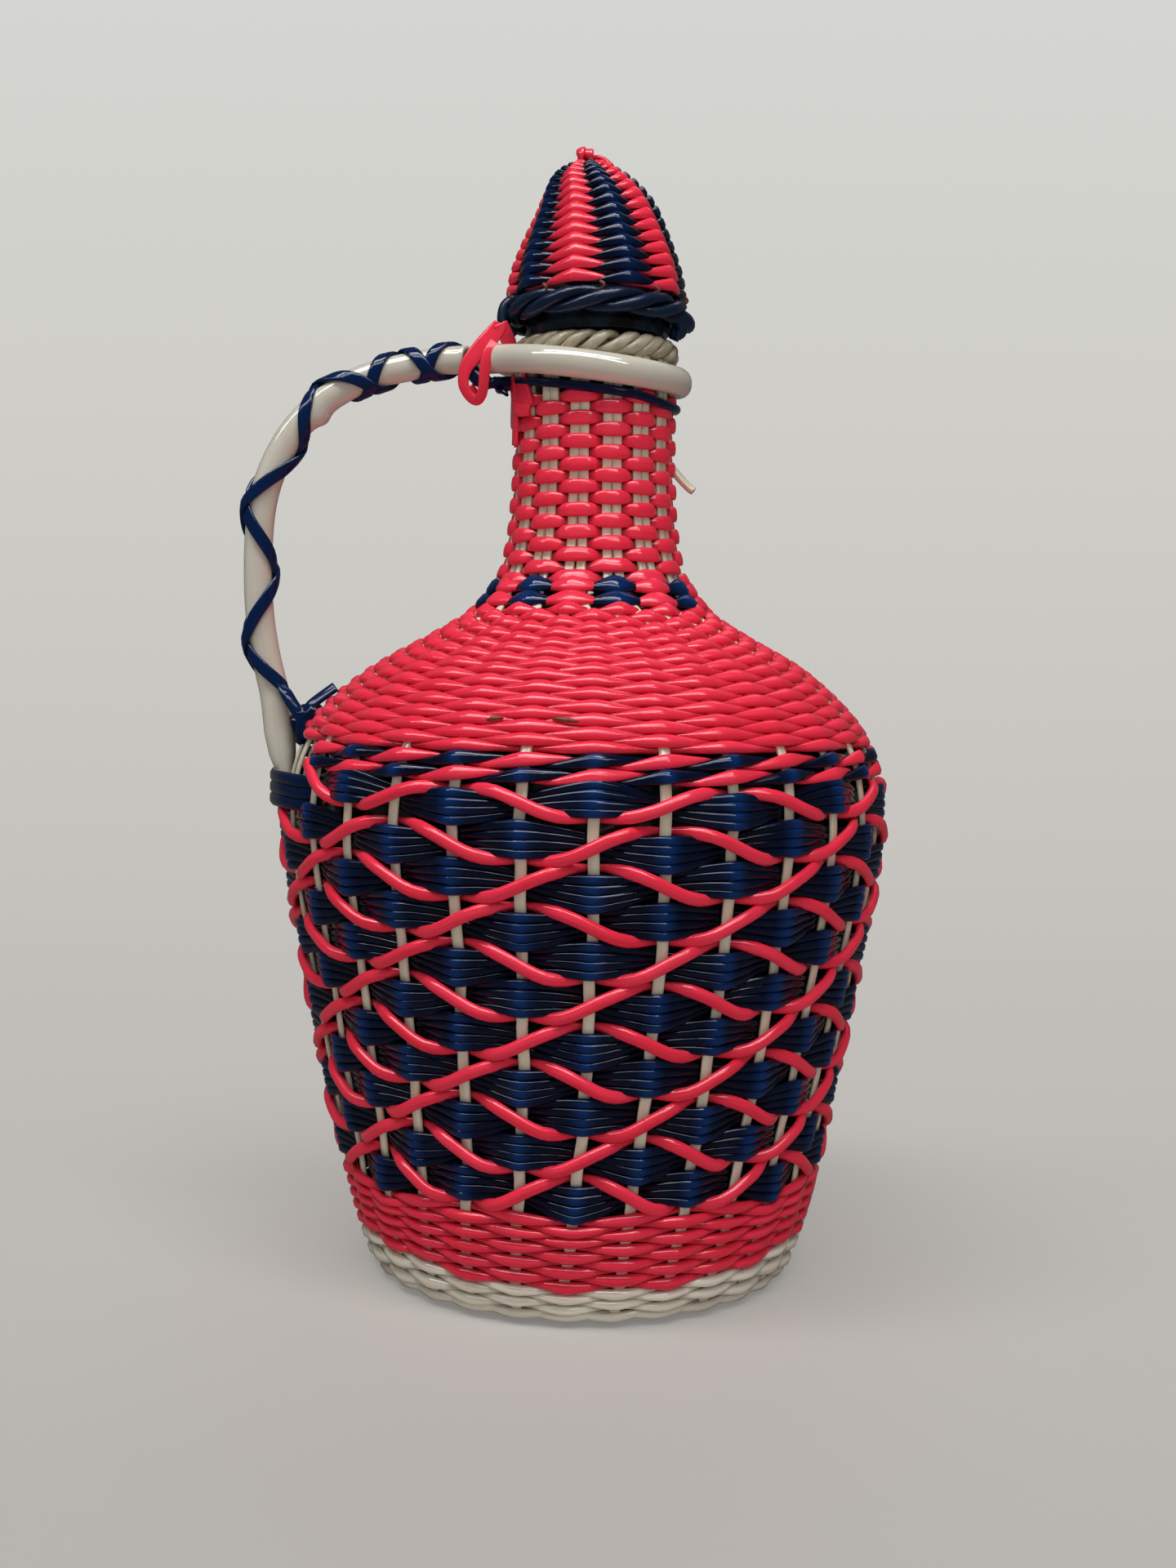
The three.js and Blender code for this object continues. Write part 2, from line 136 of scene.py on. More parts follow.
def woven(turn, run, lift):
    # lift is counted from the middle of the stakes
    level = np.interp(run, skin["run"], skin["z"])
    fromFoot = (np.asarray(turn, float) - basket["swellAt"] + 180) % 360 - 180
    swell = byHeight("swell", level) * np.exp(-(fromFoot / basket["swellReach"]) ** 2)
    return laidOn(skin, turn + byHeight("lean", level), run, lift + swell - byHeight("depths", level))


def stakeTurn(counts):
    return basket["firstStake"] + 360 / count * counts


def columnTurn(counts):
    return basket["firstColumn"] + 360 / basket["columns"] * counts


def stations(first, last):
    whole = np.arange(math.floor(first), math.ceil(last) + 1)
    counts = (whole[:, None] + stepFractions).ravel()
    return counts[(counts >= first) & (counts <= last)]


def wander(counts, seed, size):
    # a slow seeded drift, so no two turns of a strand lie quite alike
    rng = np.random.RandomState(seed)
    drift = np.zeros(len(counts))
    for k in range(drifting["waves"]):
        length = drifting["shortest"] * drifting["growth"] ** k
        phase = rng.uniform(0, drifting["phases"])
        drift += np.sin(counts * fullTurn / length + phase) * rng.uniform(drifting["weakest"], 1)
    return drift * size / drifting["sum"]


# strands: a store lists the sweeps that become one mesh
def addStrand(store, centre, outward, high, thick, sides=8, square=2.3, tuck=0.0, backed=0.0,
              closed=False, tangent=None, tip=0.5):
    # high is half its width across the surface, thick half its height off it
    # square: 2 is a round section, more is flatter
    centre = np.asarray(centre, float)
    number = len(centre)
    if tangent is None and closed:
        tangent = np.roll(centre, -1, axis=0) - np.roll(centre, 1, axis=0)
    elif tangent is None:
        tangent = np.gradient(centre, axis=0)
    tangent = unit(tangent)
    up = unit(outward - (outward * tangent).sum(axis=1, keepdims=True) * tangent)
    side = np.cross(tangent, up)
    angle = (np.arange(sides) + 0.5) * fullTurn / sides
    c, s = np.cos(angle), np.sin(angle)
    across, off = (np.sign(v) * np.abs(v) ** (2 / square) for v in (c, s))
    high, thick = np.broadcast_to(high, number), np.broadcast_to(thick, number)
    points = (centre[:, None] + side[:, None] * (high[:, None] * across)[:, :, None]
              + up[:, None] * (thick[:, None] * off)[:, :, None]).reshape(-1, 3)
    along = runsAlong(centre)
    drawn = np.stack([np.repeat(along, sides), np.tile(c, number), np.tile(s, number)], axis=1)
    tuck, backed = (np.repeat(np.broadcast_to(v, number), sides) for v in (tuck, backed))
    grid = np.arange(number * sides).reshape(number, sides)
    rows = number if closed else number - 1
    a, b = grid[:rows], np.roll(grid, -1, axis=0)[:rows]
    faces = [np.stack([a, b, np.roll(b, -1, axis=1), np.roll(a, -1, axis=1)], axis=2).reshape(-1, 4)]
    if not closed:
        points = np.vstack([points, centre[0] - tangent[0] * thick[0] * tip,
                            centre[-1] + tangent[-1] * thick[-1] * tip])
        drawn = np.vstack([drawn, [along[0], 0, 0], [along[-1], 0, 0]])
        tuck, backed = (np.append(v, [v[0], v[-1]]) for v in (tuck, backed))
        startTip = np.full(sides, number * sides)
        faces += [np.stack([startTip, grid[0], np.roll(grid[0], -1)], axis=1),
                  np.stack([startTip + 1, np.roll(grid[-1], -1), grid[-1]], axis=1)]
    store.append({"points": points * mm, "drawn": drawn, "tuck": tuck, "backed": backed, "faces": faces})


def layStrip(store, route, facing, half, thick, square, backed=0.0, tip=0.0):
    # a short strip through listed points; facing is a direction, or finds one for each point
    line = splineThrough(route, 6)
    outward = facing(line) if callable(facing) else np.array(facing)
    addStrand(store, line, outward, half, thick, sides=12, square=square, backed=backed, tip=tip)


def addObject(name, data):
    added = bpy.data.objects.new(name, data)
    scene.collection.objects.link(added)
    return added


def dress(piece, material):
    piece.data.materials.clear()
    piece.data.materials.append(material)


def settle(piece, material, body, slot, *nodes):
    dress(piece, material)
    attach(piece, body)
    if nodes:
        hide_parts(*nodes)


def makePiece(name, store, material, body, slot, *nodes):
    faces, first = [], 0
    for strand in store:
        for block in strand["faces"]:
            faces += (block + first).tolist()
        first += len(strand["points"])
    points = np.vstack([strand["points"] for strand in store])
    mesh = bpy.data.meshes.new(name)
    mesh.from_pydata(points.tolist(), [], faces, shade_flat=False)
    for key, kind, field in (("drawn", "FLOAT_VECTOR", "vector"), ("tuck", "FLOAT", "value"),
                             ("backed", "FLOAT", "value")):
        values = np.concatenate([strand[key] for strand in store])
        mesh.attributes.new(key, kind, "POINT").data.foreach_set(field, values.ravel())
    settle(addObject(name, mesh), material, body, slot, *nodes)


def applyModifier(piece, kind, **values):
    modifier = piece.modifiers.new(kind, kind)
    for key, value in values.items():
        setattr(modifier, key, value)
    bpy.ops.object.modifier_apply(modifier=kind)


# materials
def setInputs(node, inputs):
    # a socket is linked, any other value is set
    for key, value in inputs.items():
        if isinstance(value, bpy.types.NodeSocket):
            node.id_data.links.new(value, node.inputs[key])
        else:
            node.inputs[key].default_value = value


def addNode(tree, kind, output, inputs={}, **settings):
    node = tree.nodes.new("ShaderNode" + kind)
    for key, value in settings.items():
        setattr(node, key, value)
    setInputs(node, inputs)
    return node.outputs[output]


def newMaterial(name):
    material = bpy.data.materials.new(name)
    material.use_nodes = True
    return material, material.node_tree, material.node_tree.nodes["Principled BSDF"]


def addRamp(tree, source, stops):
    # a stop's colour may be one grey
    ramp = addNode(tree, "ValToRGB", "Color", {"Fac": source})
    elements = ramp.node.color_ramp.elements
    while len(elements) < len(stops):
        elements.new(0.5)
    for element, (place, colour) in zip(elements, stops):
        element.position = place
        element.color = (*colour, 1) if isinstance(colour, tuple) else (colour, colour, colour, 1)
    return ramp


def mixColour(tree, amount, colour, other):
    return addNode(tree, "Mix", 2, {0: amount, 6: colour, 7: (*other, 1)}, data_type="RGBA")


def mixShaders(tree, amount, first, second):
    return addNode(tree, "MixShader", "Shader", {"Fac": amount, 1: first, 2: second})


def joinValues(tree, operation, first, second):
    return addNode(tree, "Math", "Value", {0: first, 1: second}, operation=operation, use_clamp=True)


def addBump(tree, height, strength, distance):
    return addNode(tree, "Bump", "Normal", {"Height": height, "Strength": strength, "Distance": distance})


def strandValue(tree, name, output="Fac"):
    return addNode(tree, "Attribute", output, attribute_name=name)


def drawnNoise(tree, along, across, detail):
    # noise drawn out along a strand, from the strand's own attribute
    place = {"Vector": strandValue(tree, "drawn", "Vector"), "Scale": (along, across, across)}
    place = addNode(tree, "Mapping", "Vector", place)
    return addNode(tree, "TexNoise", "Fac", {"Vector": place, "Scale": 1.0, "Detail": detail})


def objectNoise(tree, scale, detail):
    place = addNode(tree, "TexCoord", "Object")
    return addNode(tree, "TexNoise", "Fac", {"Vector": place, "Scale": scale, "Detail": detail})


def partWay(tree, axis, low, high):
    # 0 to 1 along one axis of the piece, between two places in metres
    place = addNode(tree, "SeparateXYZ", axis, {"Vector": addNode(tree, "TexCoord", "Object")})
    return addNode(tree, "MapRange", "Result", {"Value": place, "From Min": low, "From Max": high})


def seenByCamera(tree):
    # rays of the camera, straight or through glass, and rays of a gloss
    rays = addNode(tree, "LightPath", "Is Camera Ray").node.outputs
    return joinValues(tree, "ADD", rays["Is Camera Ray"], rays["Is Transmission Ray"]), rays["Is Glossy Ray"]


# grain of a drawn cord: how fine along it, how fine across it, detail
grain = {
    "tone": (0.8, 3), "dustAndShadeSpeck": (0.5, 2.0, 4), "lines": (0.04, 2.6, 4), "deep": 0.0002,
    "glowReach": (0.0012, 0.0004, 0.0004)}


def cordPlastic(name, finish):
    material, tree, shader = newMaterial(name)
    tone = drawnNoise(tree, finish["toneAlong"], *grain["tone"])
    colour = addRamp(tree, tone, [(0.3, finish["deep"]), (0.7, finish["bright"])])
    if "backing" in finish:
        colour = mixColour(tree, strandValue(tree, "backed"), colour, finish["backing"])
    # painted shade, with some dust, where a strand dives under its neighbours
    dustAndShadeFrom, dustAndShadeTo = finish["dustAndShadeBetween"]
    dustAndShadeAmount = addRamp(tree, strandValue(tree, "tuck"), [(dustAndShadeFrom, 0), (dustAndShadeTo, 1)])
    dustAndShadeSpecks = joinValues(tree, "MULTIPLY", dustAndShadeAmount, drawnNoise(tree, *grain["dustAndShadeSpeck"]))
    # faint lines left by drawing the cord, and uneven polish
    lines = drawnNoise(tree, *grain["lines"])
    setInputs(shader, {
        "Base Color": mixColour(tree, dustAndShadeSpecks, colour, finish["dustAndShade"]),
        "Roughness": addRamp(tree, lines, [(0.25, finish["smooth"]), (0.75, finish["rough"])]),
        "Normal": addBump(tree, lines, finish["bump"], grain["deep"]),
        "Specular IOR Level": finish["shine"],
        "Subsurface Weight": finish.get("glow", 0.0),
        "Subsurface Radius": grain["glowReach"]})
    return material


# the dust colour of each finish is mostly painted shade for crevices and undersides, with a little dust
coral = cordPlastic("coralCord", {
    "deep": (0.80, 0.023, 0.054), "bright": (0.91, 0.041, 0.089), "toneAlong": 0.03,
    "dustAndShade": (0.30, 0.010, 0.018), "dustAndShadeBetween": (0.35, 0.85),
    "smooth": 0.10, "rough": 0.22, "bump": 0.2, "shine": 0.42, "glow": 0.04})
navy = cordPlastic("navyCord", {
    "deep": (0.0008, 0.0026, 0.0115), "bright": (0.0018, 0.0058, 0.0250), "toneAlong": 0.03,
    "backing": (0.0030, 0.024, 0.110), "dustAndShade": (0.0012, 0.0014, 0.0026), "dustAndShadeBetween": (0.35, 0.95),
    "smooth": 0.05, "rough": 0.11, "bump": 0.15, "shine": 0.28})
navyDull = cordPlastic("navyDullCord", {
    "deep": (0.0025, 0.0085, 0.0260), "bright": (0.0060, 0.0190, 0.0500), "toneAlong": 0.1,
    "dustAndShade": (0.0012, 0.0014, 0.0026), "dustAndShadeBetween": (0.35, 0.95),
    "smooth": 0.16, "rough": 0.34, "bump": 0.25, "shine": 0.32})
cream = cordPlastic("creamCord", {
    "deep": (0.66, 0.58, 0.445), "bright": (0.82, 0.745, 0.60), "toneAlong": 0.05,
    "dustAndShade": (0.15, 0.095, 0.055), "dustAndShadeBetween": (0.3, 0.9),
    "smooth": 0.09, "rough": 0.22, "bump": 0.25, "shine": 0.55, "glow": 0.04})
# painted light: a paler copy of the cream cord, for the base rows and the mat
creamLitForBase = cordPlastic("creamCordLitForBase", {
    "deep": (0.77, 0.70, 0.57), "bright": (0.90, 0.85, 0.73), "toneAlong": 0.05,
    "dustAndShade": (0.15, 0.095, 0.055), "dustAndShadeBetween": (0.3, 0.9),
    "smooth": 0.06, "rough": 0.16, "bump": 0.25, "shine": 0.75, "glow": 0.04})
braidTan = cordPlastic("braidCord", {
    "deep": (0.33, 0.27, 0.18), "bright": (0.56, 0.49, 0.36), "toneAlong": 0.25,
    "dustAndShade": (0.05, 0.03, 0.015), "dustAndShadeBetween": (0.25, 0.75),
    "smooth": 0.22, "rough": 0.42, "bump": 0.5, "shine": 0.45})
frayBrown = cordPlastic("frayedCord", {
    "deep": (0.09, 0.030, 0.014), "bright": (0.24, 0.095, 0.050), "toneAlong": 1.2,
    "dustAndShade": (0.03, 0.012, 0.008), "dustAndShadeBetween": (0.25, 0.75),
    "smooth": 0.45, "rough": 0.7, "bump": 0.8, "shine": 0.3})
tubeWhite = cordPlastic("tubePlastic", {
    "deep": (0.54, 0.505, 0.42), "bright": (0.65, 0.62, 0.53), "toneAlong": 0.02,
    "dustAndShade": (0.03, 0.02, 0.015), "dustAndShadeBetween": (0.3, 0.9),
    "smooth": 0.04, "rough": 0.09, "bump": 0.06, "shine": 1.0})

glass = {
    "cloud": 60, "dark": (0.010, 0.022, 0.012), "clear": (0.022, 0.040, 0.022), "smears": (0.05, 0.16),
    "ior": 1.5}


def bottleGlass():
    material, tree, shader = newMaterial("bottleGlass")
    cloud = objectNoise(tree, glass["cloud"], 4)
    clean, smeared = glass["smears"]
    setInputs(shader, {
        "Base Color": addRamp(tree, cloud, [(0.3, glass["dark"]), (0.7, glass["clear"])]),
        "Roughness": addRamp(tree, cloud, [(0.3, clean), (0.8, smeared)]),
        "IOR": glass["ior"]})
    return material


# cork, near black above a set height, where it meets the cap
cork = {
    "grain": 420, "pores": (0.07, 0.035, 0.015), "flesh": (0.30, 0.18, 0.085), "pale": (0.38, 0.25, 0.13),
    "upperDark": (0.006, 0.006, 0.007), "upperDarkBetween": (0.214, 0.221), "bump": 0.6, "deep": 0.0004,
    "rough": 0.7}


def stopperCork():
    material, tree, shader = newMaterial("stopperCork")
    pores = objectNoise(tree, cork["grain"], 6)
    colour = addRamp(tree, pores, [(0.35, cork["pores"]), (0.6, cork["flesh"]), (0.8, cork["pale"])])
    upperDarkening = partWay(tree, "Z", *cork["upperDarkBetween"])
    setInputs(shader, {
        "Base Color": mixColour(tree, upperDarkening, colour, cork["upperDark"]),
        "Normal": addBump(tree, pores, cork["bump"], cork["deep"]),
        "Roughness": cork["rough"]})
    return material


def patchyDark(name, scale, detail, stops, roughness):
    material, tree, shader = newMaterial(name)
    colour = addRamp(tree, objectNoise(tree, scale, detail), stops)
    setInputs(shader, {"Base Color": colour, "Roughness": roughness})
    return material


glassFinish = bottleGlass()
corkFinish = stopperCork()
# near black head inside the cap: painted shade in the gaps of the weave
coreFinish = patchyDark("darkCore", scale=300, detail=5, roughness=0.6,
                        stops=[(0.3, (0.006, 0.006, 0.008)), (0.8, (0.028, 0.024, 0.022))])
collarFinish = patchyDark("collarBand", scale=150, detail=3, roughness=0.2,
                          stops=[(0.44, (0.003, 0.003, 0.004)), (0.64, (0.007, 0.020, 0.036))])
print("materials ready")

# upright stakes: flat cream strands, one to a place round the belly, in pairs up the neck
stake = {
    "bottom": 2.6, "top": 223.5, "half": 1.32, "neckHalf": 1.2, "thick": 0.55, "square": 3.0,
    "spacing": 2.0, "sway": 0.34, "swayLong": 8.66, "steadied": 0.8, "steadyFrom": 120, "steadyOver": 30,
    "bulge": 0.05, "bulgeLong": 14}
heights = np.arange(stake["bottom"], stake["top"], stake["spacing"])
run = runAt(heights)
gatherLow, gatherHigh = basket["gather"]
blend = smooth((heights - gatherLow) / (gatherHigh - gatherLow))
steady = 1 - stake["steadied"] * smooth((heights - stake["steadyFrom"]) / stake["steadyOver"])
half = stake["half"] + (stake["neckHalf"] - stake["half"]) * blend
for number in range(1, count + 1):
    around = number - 1 - count // 2
    neckPlace = columnTurn(math.ceil(around / 2))
    if around != -(count // 2):
        neckPlace += basket["pairHalf"] * (1 if around % 2 == 0 else -1)
    sway = wander(heights / stake["swayLong"], 100 + number, stake["sway"]) * steady
    turn = stakeTurn(around) * (1 - blend) + neckPlace * blend
    turn = turn + np.degrees(sway / np.interp(run, skin["run"], skin["r"]))
    store = []
    lift = wander(heights / stake["bulgeLong"], 300 + number, stake["bulge"])
    addStrand(store, *woven(turn, run, lift), half, stake["thick"], square=stake["square"])
    makePiece("stake%02d" % number, store, cream, "bottle", "cream_cord", "stake_%02d" % number)
print("stakes set up:", count)


def awayFromOver(counts):
    # 0 where a strand crosses over a stake, 1 where it dives under the next
    return np.abs((counts + 1) % 2 - 1)


# how strands bend, as parts of the way from one stake to the next, and how much thinner they get under it
bends = {
    "crest": 0.05, "steep": 1.42, "ease": 0.37, "rounded": (0.08, 0.84), "slantTo": 0.62,
    "plainThin": 0.85, "twinedThin": 0.8, "plainTuck": 0.25, "twinedTuck": 0.3, "tuckOver": 0.5}


def ridge(away, crest=bends["crest"]):
    # 1 over the stake with a crease, like a roof, falling to 0 under the next
    bend = np.sqrt(away ** 2 + crest ** 2) - crest
    return 1 - np.minimum(1, bend * (bends["steep"] - bends["ease"] * bend))


def slant(counts, reach):
    # straight slope across the showing part of a strand, and back again behind
    d = (counts + 1) % 2 - 1
    a = np.abs(d)
    return np.sign(d) * np.where(a < reach, a / reach, (1 - a) / (1 - reach))


def between(low, high, share):
    return low + (high - low) * share


def tucked(away, start=bends["twinedTuck"]):
    # how far a strand has gone under its neighbours, where the materials paint shade
    return smooth((away - start) / bends["tuckOver"])


def backing(away, reach):
    # 1 where a strand is bent most, over the stake, and its paler backing shows
    return np.exp(-(away / reach) ** 2)


# plain weave, over one and under one, as a single strand going up and round
def plainWeave(store, counts, runs, pitch, turn, weave, seed):
    away = awayFromOver(counts)
    if "pillow" in weave:
        rise, spread = fade(away, *weave["pillow"]), fade(away, *weave["pillowWide"])
    else:
        rise, spread = ridge(away, weave["crest"]), fade(away, 0, weave["leaf"])
    lift = between(weave["under"], weave["over"], rise) + wander(counts, seed + 1, weave["drift"] / 2)
    addStrand(store, *woven(turn, runs + wander(counts, seed, weave["drift"]), lift),
              pitch * between(weave["slim"], weave["high"], spread),
              weave["thick"] * between(bends["plainThin"], 1, spread), sides=weave["sides"],
              square=weave["square"], tuck=tucked(away, bends["plainTuck"]))


# rows of two strands that twist round each other between the stakes
def twinedRow(stores, counts, run, turn, twine, seed):
    for odd, store in enumerate(stores):
        away = awayFromOver(counts + odd)
        spread = fade(away, 0, twine["leaf"])
        climb = twine["climb"] * slant(counts + odd, bends["slantTo"])
        rise = between(ridge(away), fade(away, *bends["rounded"]), twine["round"])
        lift = between(twine["under"], twine["over"], rise)
        addStrand(store, *woven(turn, run + climb + wander(counts, seed + odd, twine["drift"]), lift),
                  between(twine["slim"], twine["high"], spread),
                  twine["thick"] * between(bends["twinedThin"], 1, spread), tuck=tucked(away),
                  backed=backing(away, twine["showing"]))


# foot of the basket: one spiral, cream for its first turns and coral above
lowerWeave = {
    "from": 3.1, "pitch": 1.95, "creamTurns": 4.0, "creamHigh": 5.7, "turns": 14.0, "sag": 0.0009,
    "sagAt": 10, "sagMost": 2.7, "dip": 1.75, "dipShape": 1.6, "dipRows": (4.2, 3.6), "over": 1.1,
    "under": -0.95, "high": 0.79, "slim": 0.38, "thick": 1.12, "square": 2.0, "drift": 0.08, "sides": 8,
    "crest": 0.2, "leaf": 0.8, "rowLimits": (1.5, 2.6)}


def lowerRuns(counts):
    turns = (counts + halfRound) / count
    around = (counts + halfRound) % count - halfRound
    creamTurns, top = lowerWeave["creamTurns"], lowerWeave["turns"]
    # the rows hang lowest at the front, and the upper ones make room for the lowest navy bands
    sag = lowerWeave["sag"] * (stakeTurn(around) - lowerWeave["sagAt"]) ** 2
    sag = np.minimum(lowerWeave["sagMost"], sag)
    sag = sag * smooth(turns / creamTurns) * fade(turns, creamTurns, top - creamTurns)
    dipFrom, dipOver = lowerWeave["dipRows"]
    dip = lowerWeave["dip"] * smooth((turns - top + dipFrom) / dipOver)
    dip = dip * (0.5 + 0.5 * np.cos(around * math.pi / 2)) ** lowerWeave["dipShape"]
    high = np.minimum(turns / creamTurns, 1) * lowerWeave["creamHigh"]
    high = high + np.maximum(turns - creamTurns, 0) * lowerWeave["pitch"]
    return runAt(lowerWeave["from"]) + high + sag - dip


def lowerBand(store, fromTurn, toTurn, seed):
    counts = stations(fromTurn * count - halfRound, toTurn * count - halfRound)
    pitch = np.clip(lowerRuns(counts + count) - lowerRuns(counts), *lowerWeave["rowLimits"])
    plainWeave(store, counts, lowerRuns(counts), pitch, stakeTurn(counts), lowerWeave, seed)


store = []
lowerBand(store, lowerWeave["creamTurns"], lowerWeave["turns"], seed=11)
makePiece("lowerWeave", store, coral, "bottle", "coral_cord", "lower_weave")

# belly: navy bands over one and under one, each turn level round the front and a step down behind the handle
# its rises: millimetres, the stake where each begins to fade, and over how many
belly = {
    "top": 117.2, "row": 8.66, "rows": 11, "start": -9.5, "first": -5.9, "stepPart": 0.1, "slope": 0.1,
    "frontRise": (0.5, 10, 15), "startRise": (0.85, -5, 5)}
lastTurn = belly["start"] + count * belly["rows"]


def bellyRun(counts):
    turns = (counts - belly["start"]) / count
    whole = np.floor(turns)
    part = turns - whole
    stepPart, slope = belly["stepPart"], belly["slope"]
    step = smooth(part / stepPart) + smooth((part - 1 + stepPart) / stepPart) * (whole < belly["rows"] - 1)
    drop = whole + slope * part + (1 - slope) * step / 2 - 0.5
    rise = sum(size * fade(counts, *where) for size, *where in (belly["frontRise"], belly["startRise"]))
    return runAt(belly["top"] - belly["row"] * drop + rise)


# one coral strand that waves through the bands over four stakes
waver = {
    "from": 0.65, "short": 0.4, "reach": 4.05, "flat": 0.08, "firstReach": 0.87, "fullFrom": (6, 10),
    "hook": 3.6, "hookAt": 1.7, "hookLong": 1.1, "high": 1.48, "thick": 1.15, "slim": 0.55, "over": 1.95,
    "under": -1.4, "crest": 0.25, "drift": 0.22, "liftDrift": 0.08, "riseOver": 0.78, "squeezeOver": 0.5,
    "tuckOver": 0.45, "sides": 10, "square": 2.0}
store = []
counts = stations(belly["first"] + waver["from"], lastTurn - waver["short"])
swing = counts * math.pi / 2
fullFrom, fullOver = waver["fullFrom"]
reach = waver["reach"] * between(waver["firstReach"], 1, smooth((counts - fullFrom) / fullOver))
offset = -reach * (np.cos(swing) - waver["flat"] * np.cos(3 * swing)) + wander(counts, 21, waver["drift"])
offset = offset + waver["hook"] * smooth((belly["first"] + waver["hookAt"] - counts) / waver["hookLong"])
away = awayFromOver(counts)
lift = between(waver["under"], waver["over"] - waver["crest"], smooth(away / waver["riseOver"]))
lift = lift + waver["crest"] * ridge(1 - away) + wander(counts, 22, waver["liftDrift"])
squeeze = between(waver["slim"], 1, smooth(away / waver["squeezeOver"]))
addStrand(store, *woven(stakeTurn(counts), bellyRun(counts) + offset, lift), waver["high"] * squeeze,
          waver["thick"] * squeeze, sides=waver["sides"], square=waver["square"],
          tuck=fade(away, 0, waver["tuckOver"]))
makePiece("bellyCoral", store, coral, "bottle", "coral_cord")

# the navy bands of four strands, in two pieces
band = {
    "from": 0.55, "late": 0.04, "short": 0.9, "long": 0.15, "shift": 1.45, "wide": 2.14, "narrow": 1.38,
    "high": 1.13, "slim": 0.86, "thick": 0.82, "square": 2.4, "lift": 1.55, "crest": 0.05,
    "spreadCrest": 0.12, "bulge": 0.12, "liftDrift": 0.12, "showing": 0.13, "drift": 0.13, "outer": 1.5}
outer = band["outer"]
for pieceName, places, nodes in (("bellyNavyUpper", (1.5, 0.5), ["belly_weave"]),
                                 ("bellyNavyLower", (-0.5, -1.5), [])):
    store = []
    for place in places:
        counts = stations(belly["first"] + band["from"] + (outer - place) * band["late"],
                          lastTurn - band["short"] + (place + outer) * band["long"])
        away = awayFromOver(counts)
        seed = 40 + int(place * 2)
        gap = between(band["narrow"], band["wide"], ridge(away, band["spreadCrest"]))
        offset = band["shift"] * np.cos(counts * math.pi / 2) + place * gap
        offset = offset + wander(counts, seed, band["drift"])
        lift = band["lift"] * (2 * ridge(away, band["crest"]) - 1)
        lift = lift + band["bulge"] * (1 - (place / outer) ** 2)
        lift = lift + wander(counts, seed + 20, band["liftDrift"])
        addStrand(store, *woven(stakeTurn(counts), bellyRun(counts) + offset, lift),
                  between(band["high"], band["slim"], smooth(away)), band["thick"], square=band["square"],
                  tuck=tucked(away), backed=backing(away, band["showing"]))
    makePiece(pieceName, store, navy, "bottle", "navy_cord", *nodes)
print("belly woven:", belly["rows"], "rows")

# two twined rows of coral and navy above the belly, open at the handle's foot
accent = {
    "heights": (123.9, 127.25), "ends": (-5.45, 21.1), "climb": 1.05, "over": 1.55, "under": -1.3,
    "high": 1.66, "slim": 0.66, "thick": 1.0, "drift": 0.06, "showing": 0.1, "leaf": 0.66, "round": 0.0}
coralStore, navyStore = [], []
counts = stations(*accent["ends"])
lowRun, highRun = (runAt(height) for height in accent["heights"])
twinedRow((coralStore, navyStore), counts, lowRun, stakeTurn(counts), accent, seed=60)
twinedRow((navyStore, coralStore), counts, highRun, stakeTurn(counts), accent, seed=64)
makePiece("accentCoral", coralStore, coral, "bottle", "coral_cord")
makePiece("accentNavy", navyStore, navy, "bottle", "navy_cord", "accent_rows")

# coral shoulder
shoulder = {
    "from": 130.3, "pitch": 1.76, "growth": 0.0207, "turns": (-0.55, 23.5), "over": 1.1, "under": -0.9,
    "high": 0.9, "slim": 0.37, "thick": 1.15, "square": 2.0, "drift": 0.08, "sides": 8, "crest": 0.14,
    "leaf": 0.78}
store = []
counts = stations(*(turns * count for turns in shoulder["turns"]))
turns = counts / count
runs = runAt(shoulder["from"]) + shoulder["pitch"] * turns + shoulder["growth"] * turns * np.abs(turns)
pitch = shoulder["pitch"] + 2 * shoulder["growth"] * np.maximum(turns, 0)
plainWeave(store, counts, runs, pitch, stakeTurn(counts), shoulder, seed=71)
makePiece("shoulderWeave", store, coral, "bottle", "coral_cord", "shoulder_weave")

# frayed ends where a new length of cord was laid in: the turn, half the length and the climb of each
splice = {
    "level": 135.8, "ends": [(-18.3, 1.7, 0.35), (-4.6, 2.8, -0.35)], "radius": 66, "half": 0.42,
    "blunt": 1.15, "thick": 0.42, "lift": 1.75, "dive": 0.5}
store = []
ways = np.linspace(-1, 1, 7)
for place, long, climb in splice["ends"]:
    turn = place + np.degrees(ways * long / splice["radius"])
    lift = splice["lift"] - splice["dive"] * ways ** 2
    addStrand(store, *woven(turn, runAt(splice["level"]) + climb * ways, lift),
              splice["half"] * (splice["blunt"] - ways ** 2), splice["thick"], sides=6)
makePiece("shoulderSplice", store, frayBrown, "bottle", "braid_cord")

# two rows of coral and navy at the foot of the neck
neckAccent = {
    "heights": (163.6, 166.8), "ends": (-7.4, 7.4), "climb": 0.1, "over": 1.3, "under": -1.0, "high": 2.55,
    "slim": 0.7, "thick": 1.0, "drift": 0.05, "showing": 0.3, "leaf": 0.72, "round": 0.45}
coralStore, navyStore = [], []
counts = stations(*neckAccent["ends"])
for height in neckAccent["heights"]:
    twinedRow((coralStore, navyStore), counts, runAt(height), columnTurn(counts), neckAccent,
              seed=80 + int(height))
makePiece("neckAccentCoral", coralStore, coral, "bottle", "coral_cord")
makePiece("neckAccentNavy", navyStore, navy, "bottle", "navy_cord", "neck_accent")

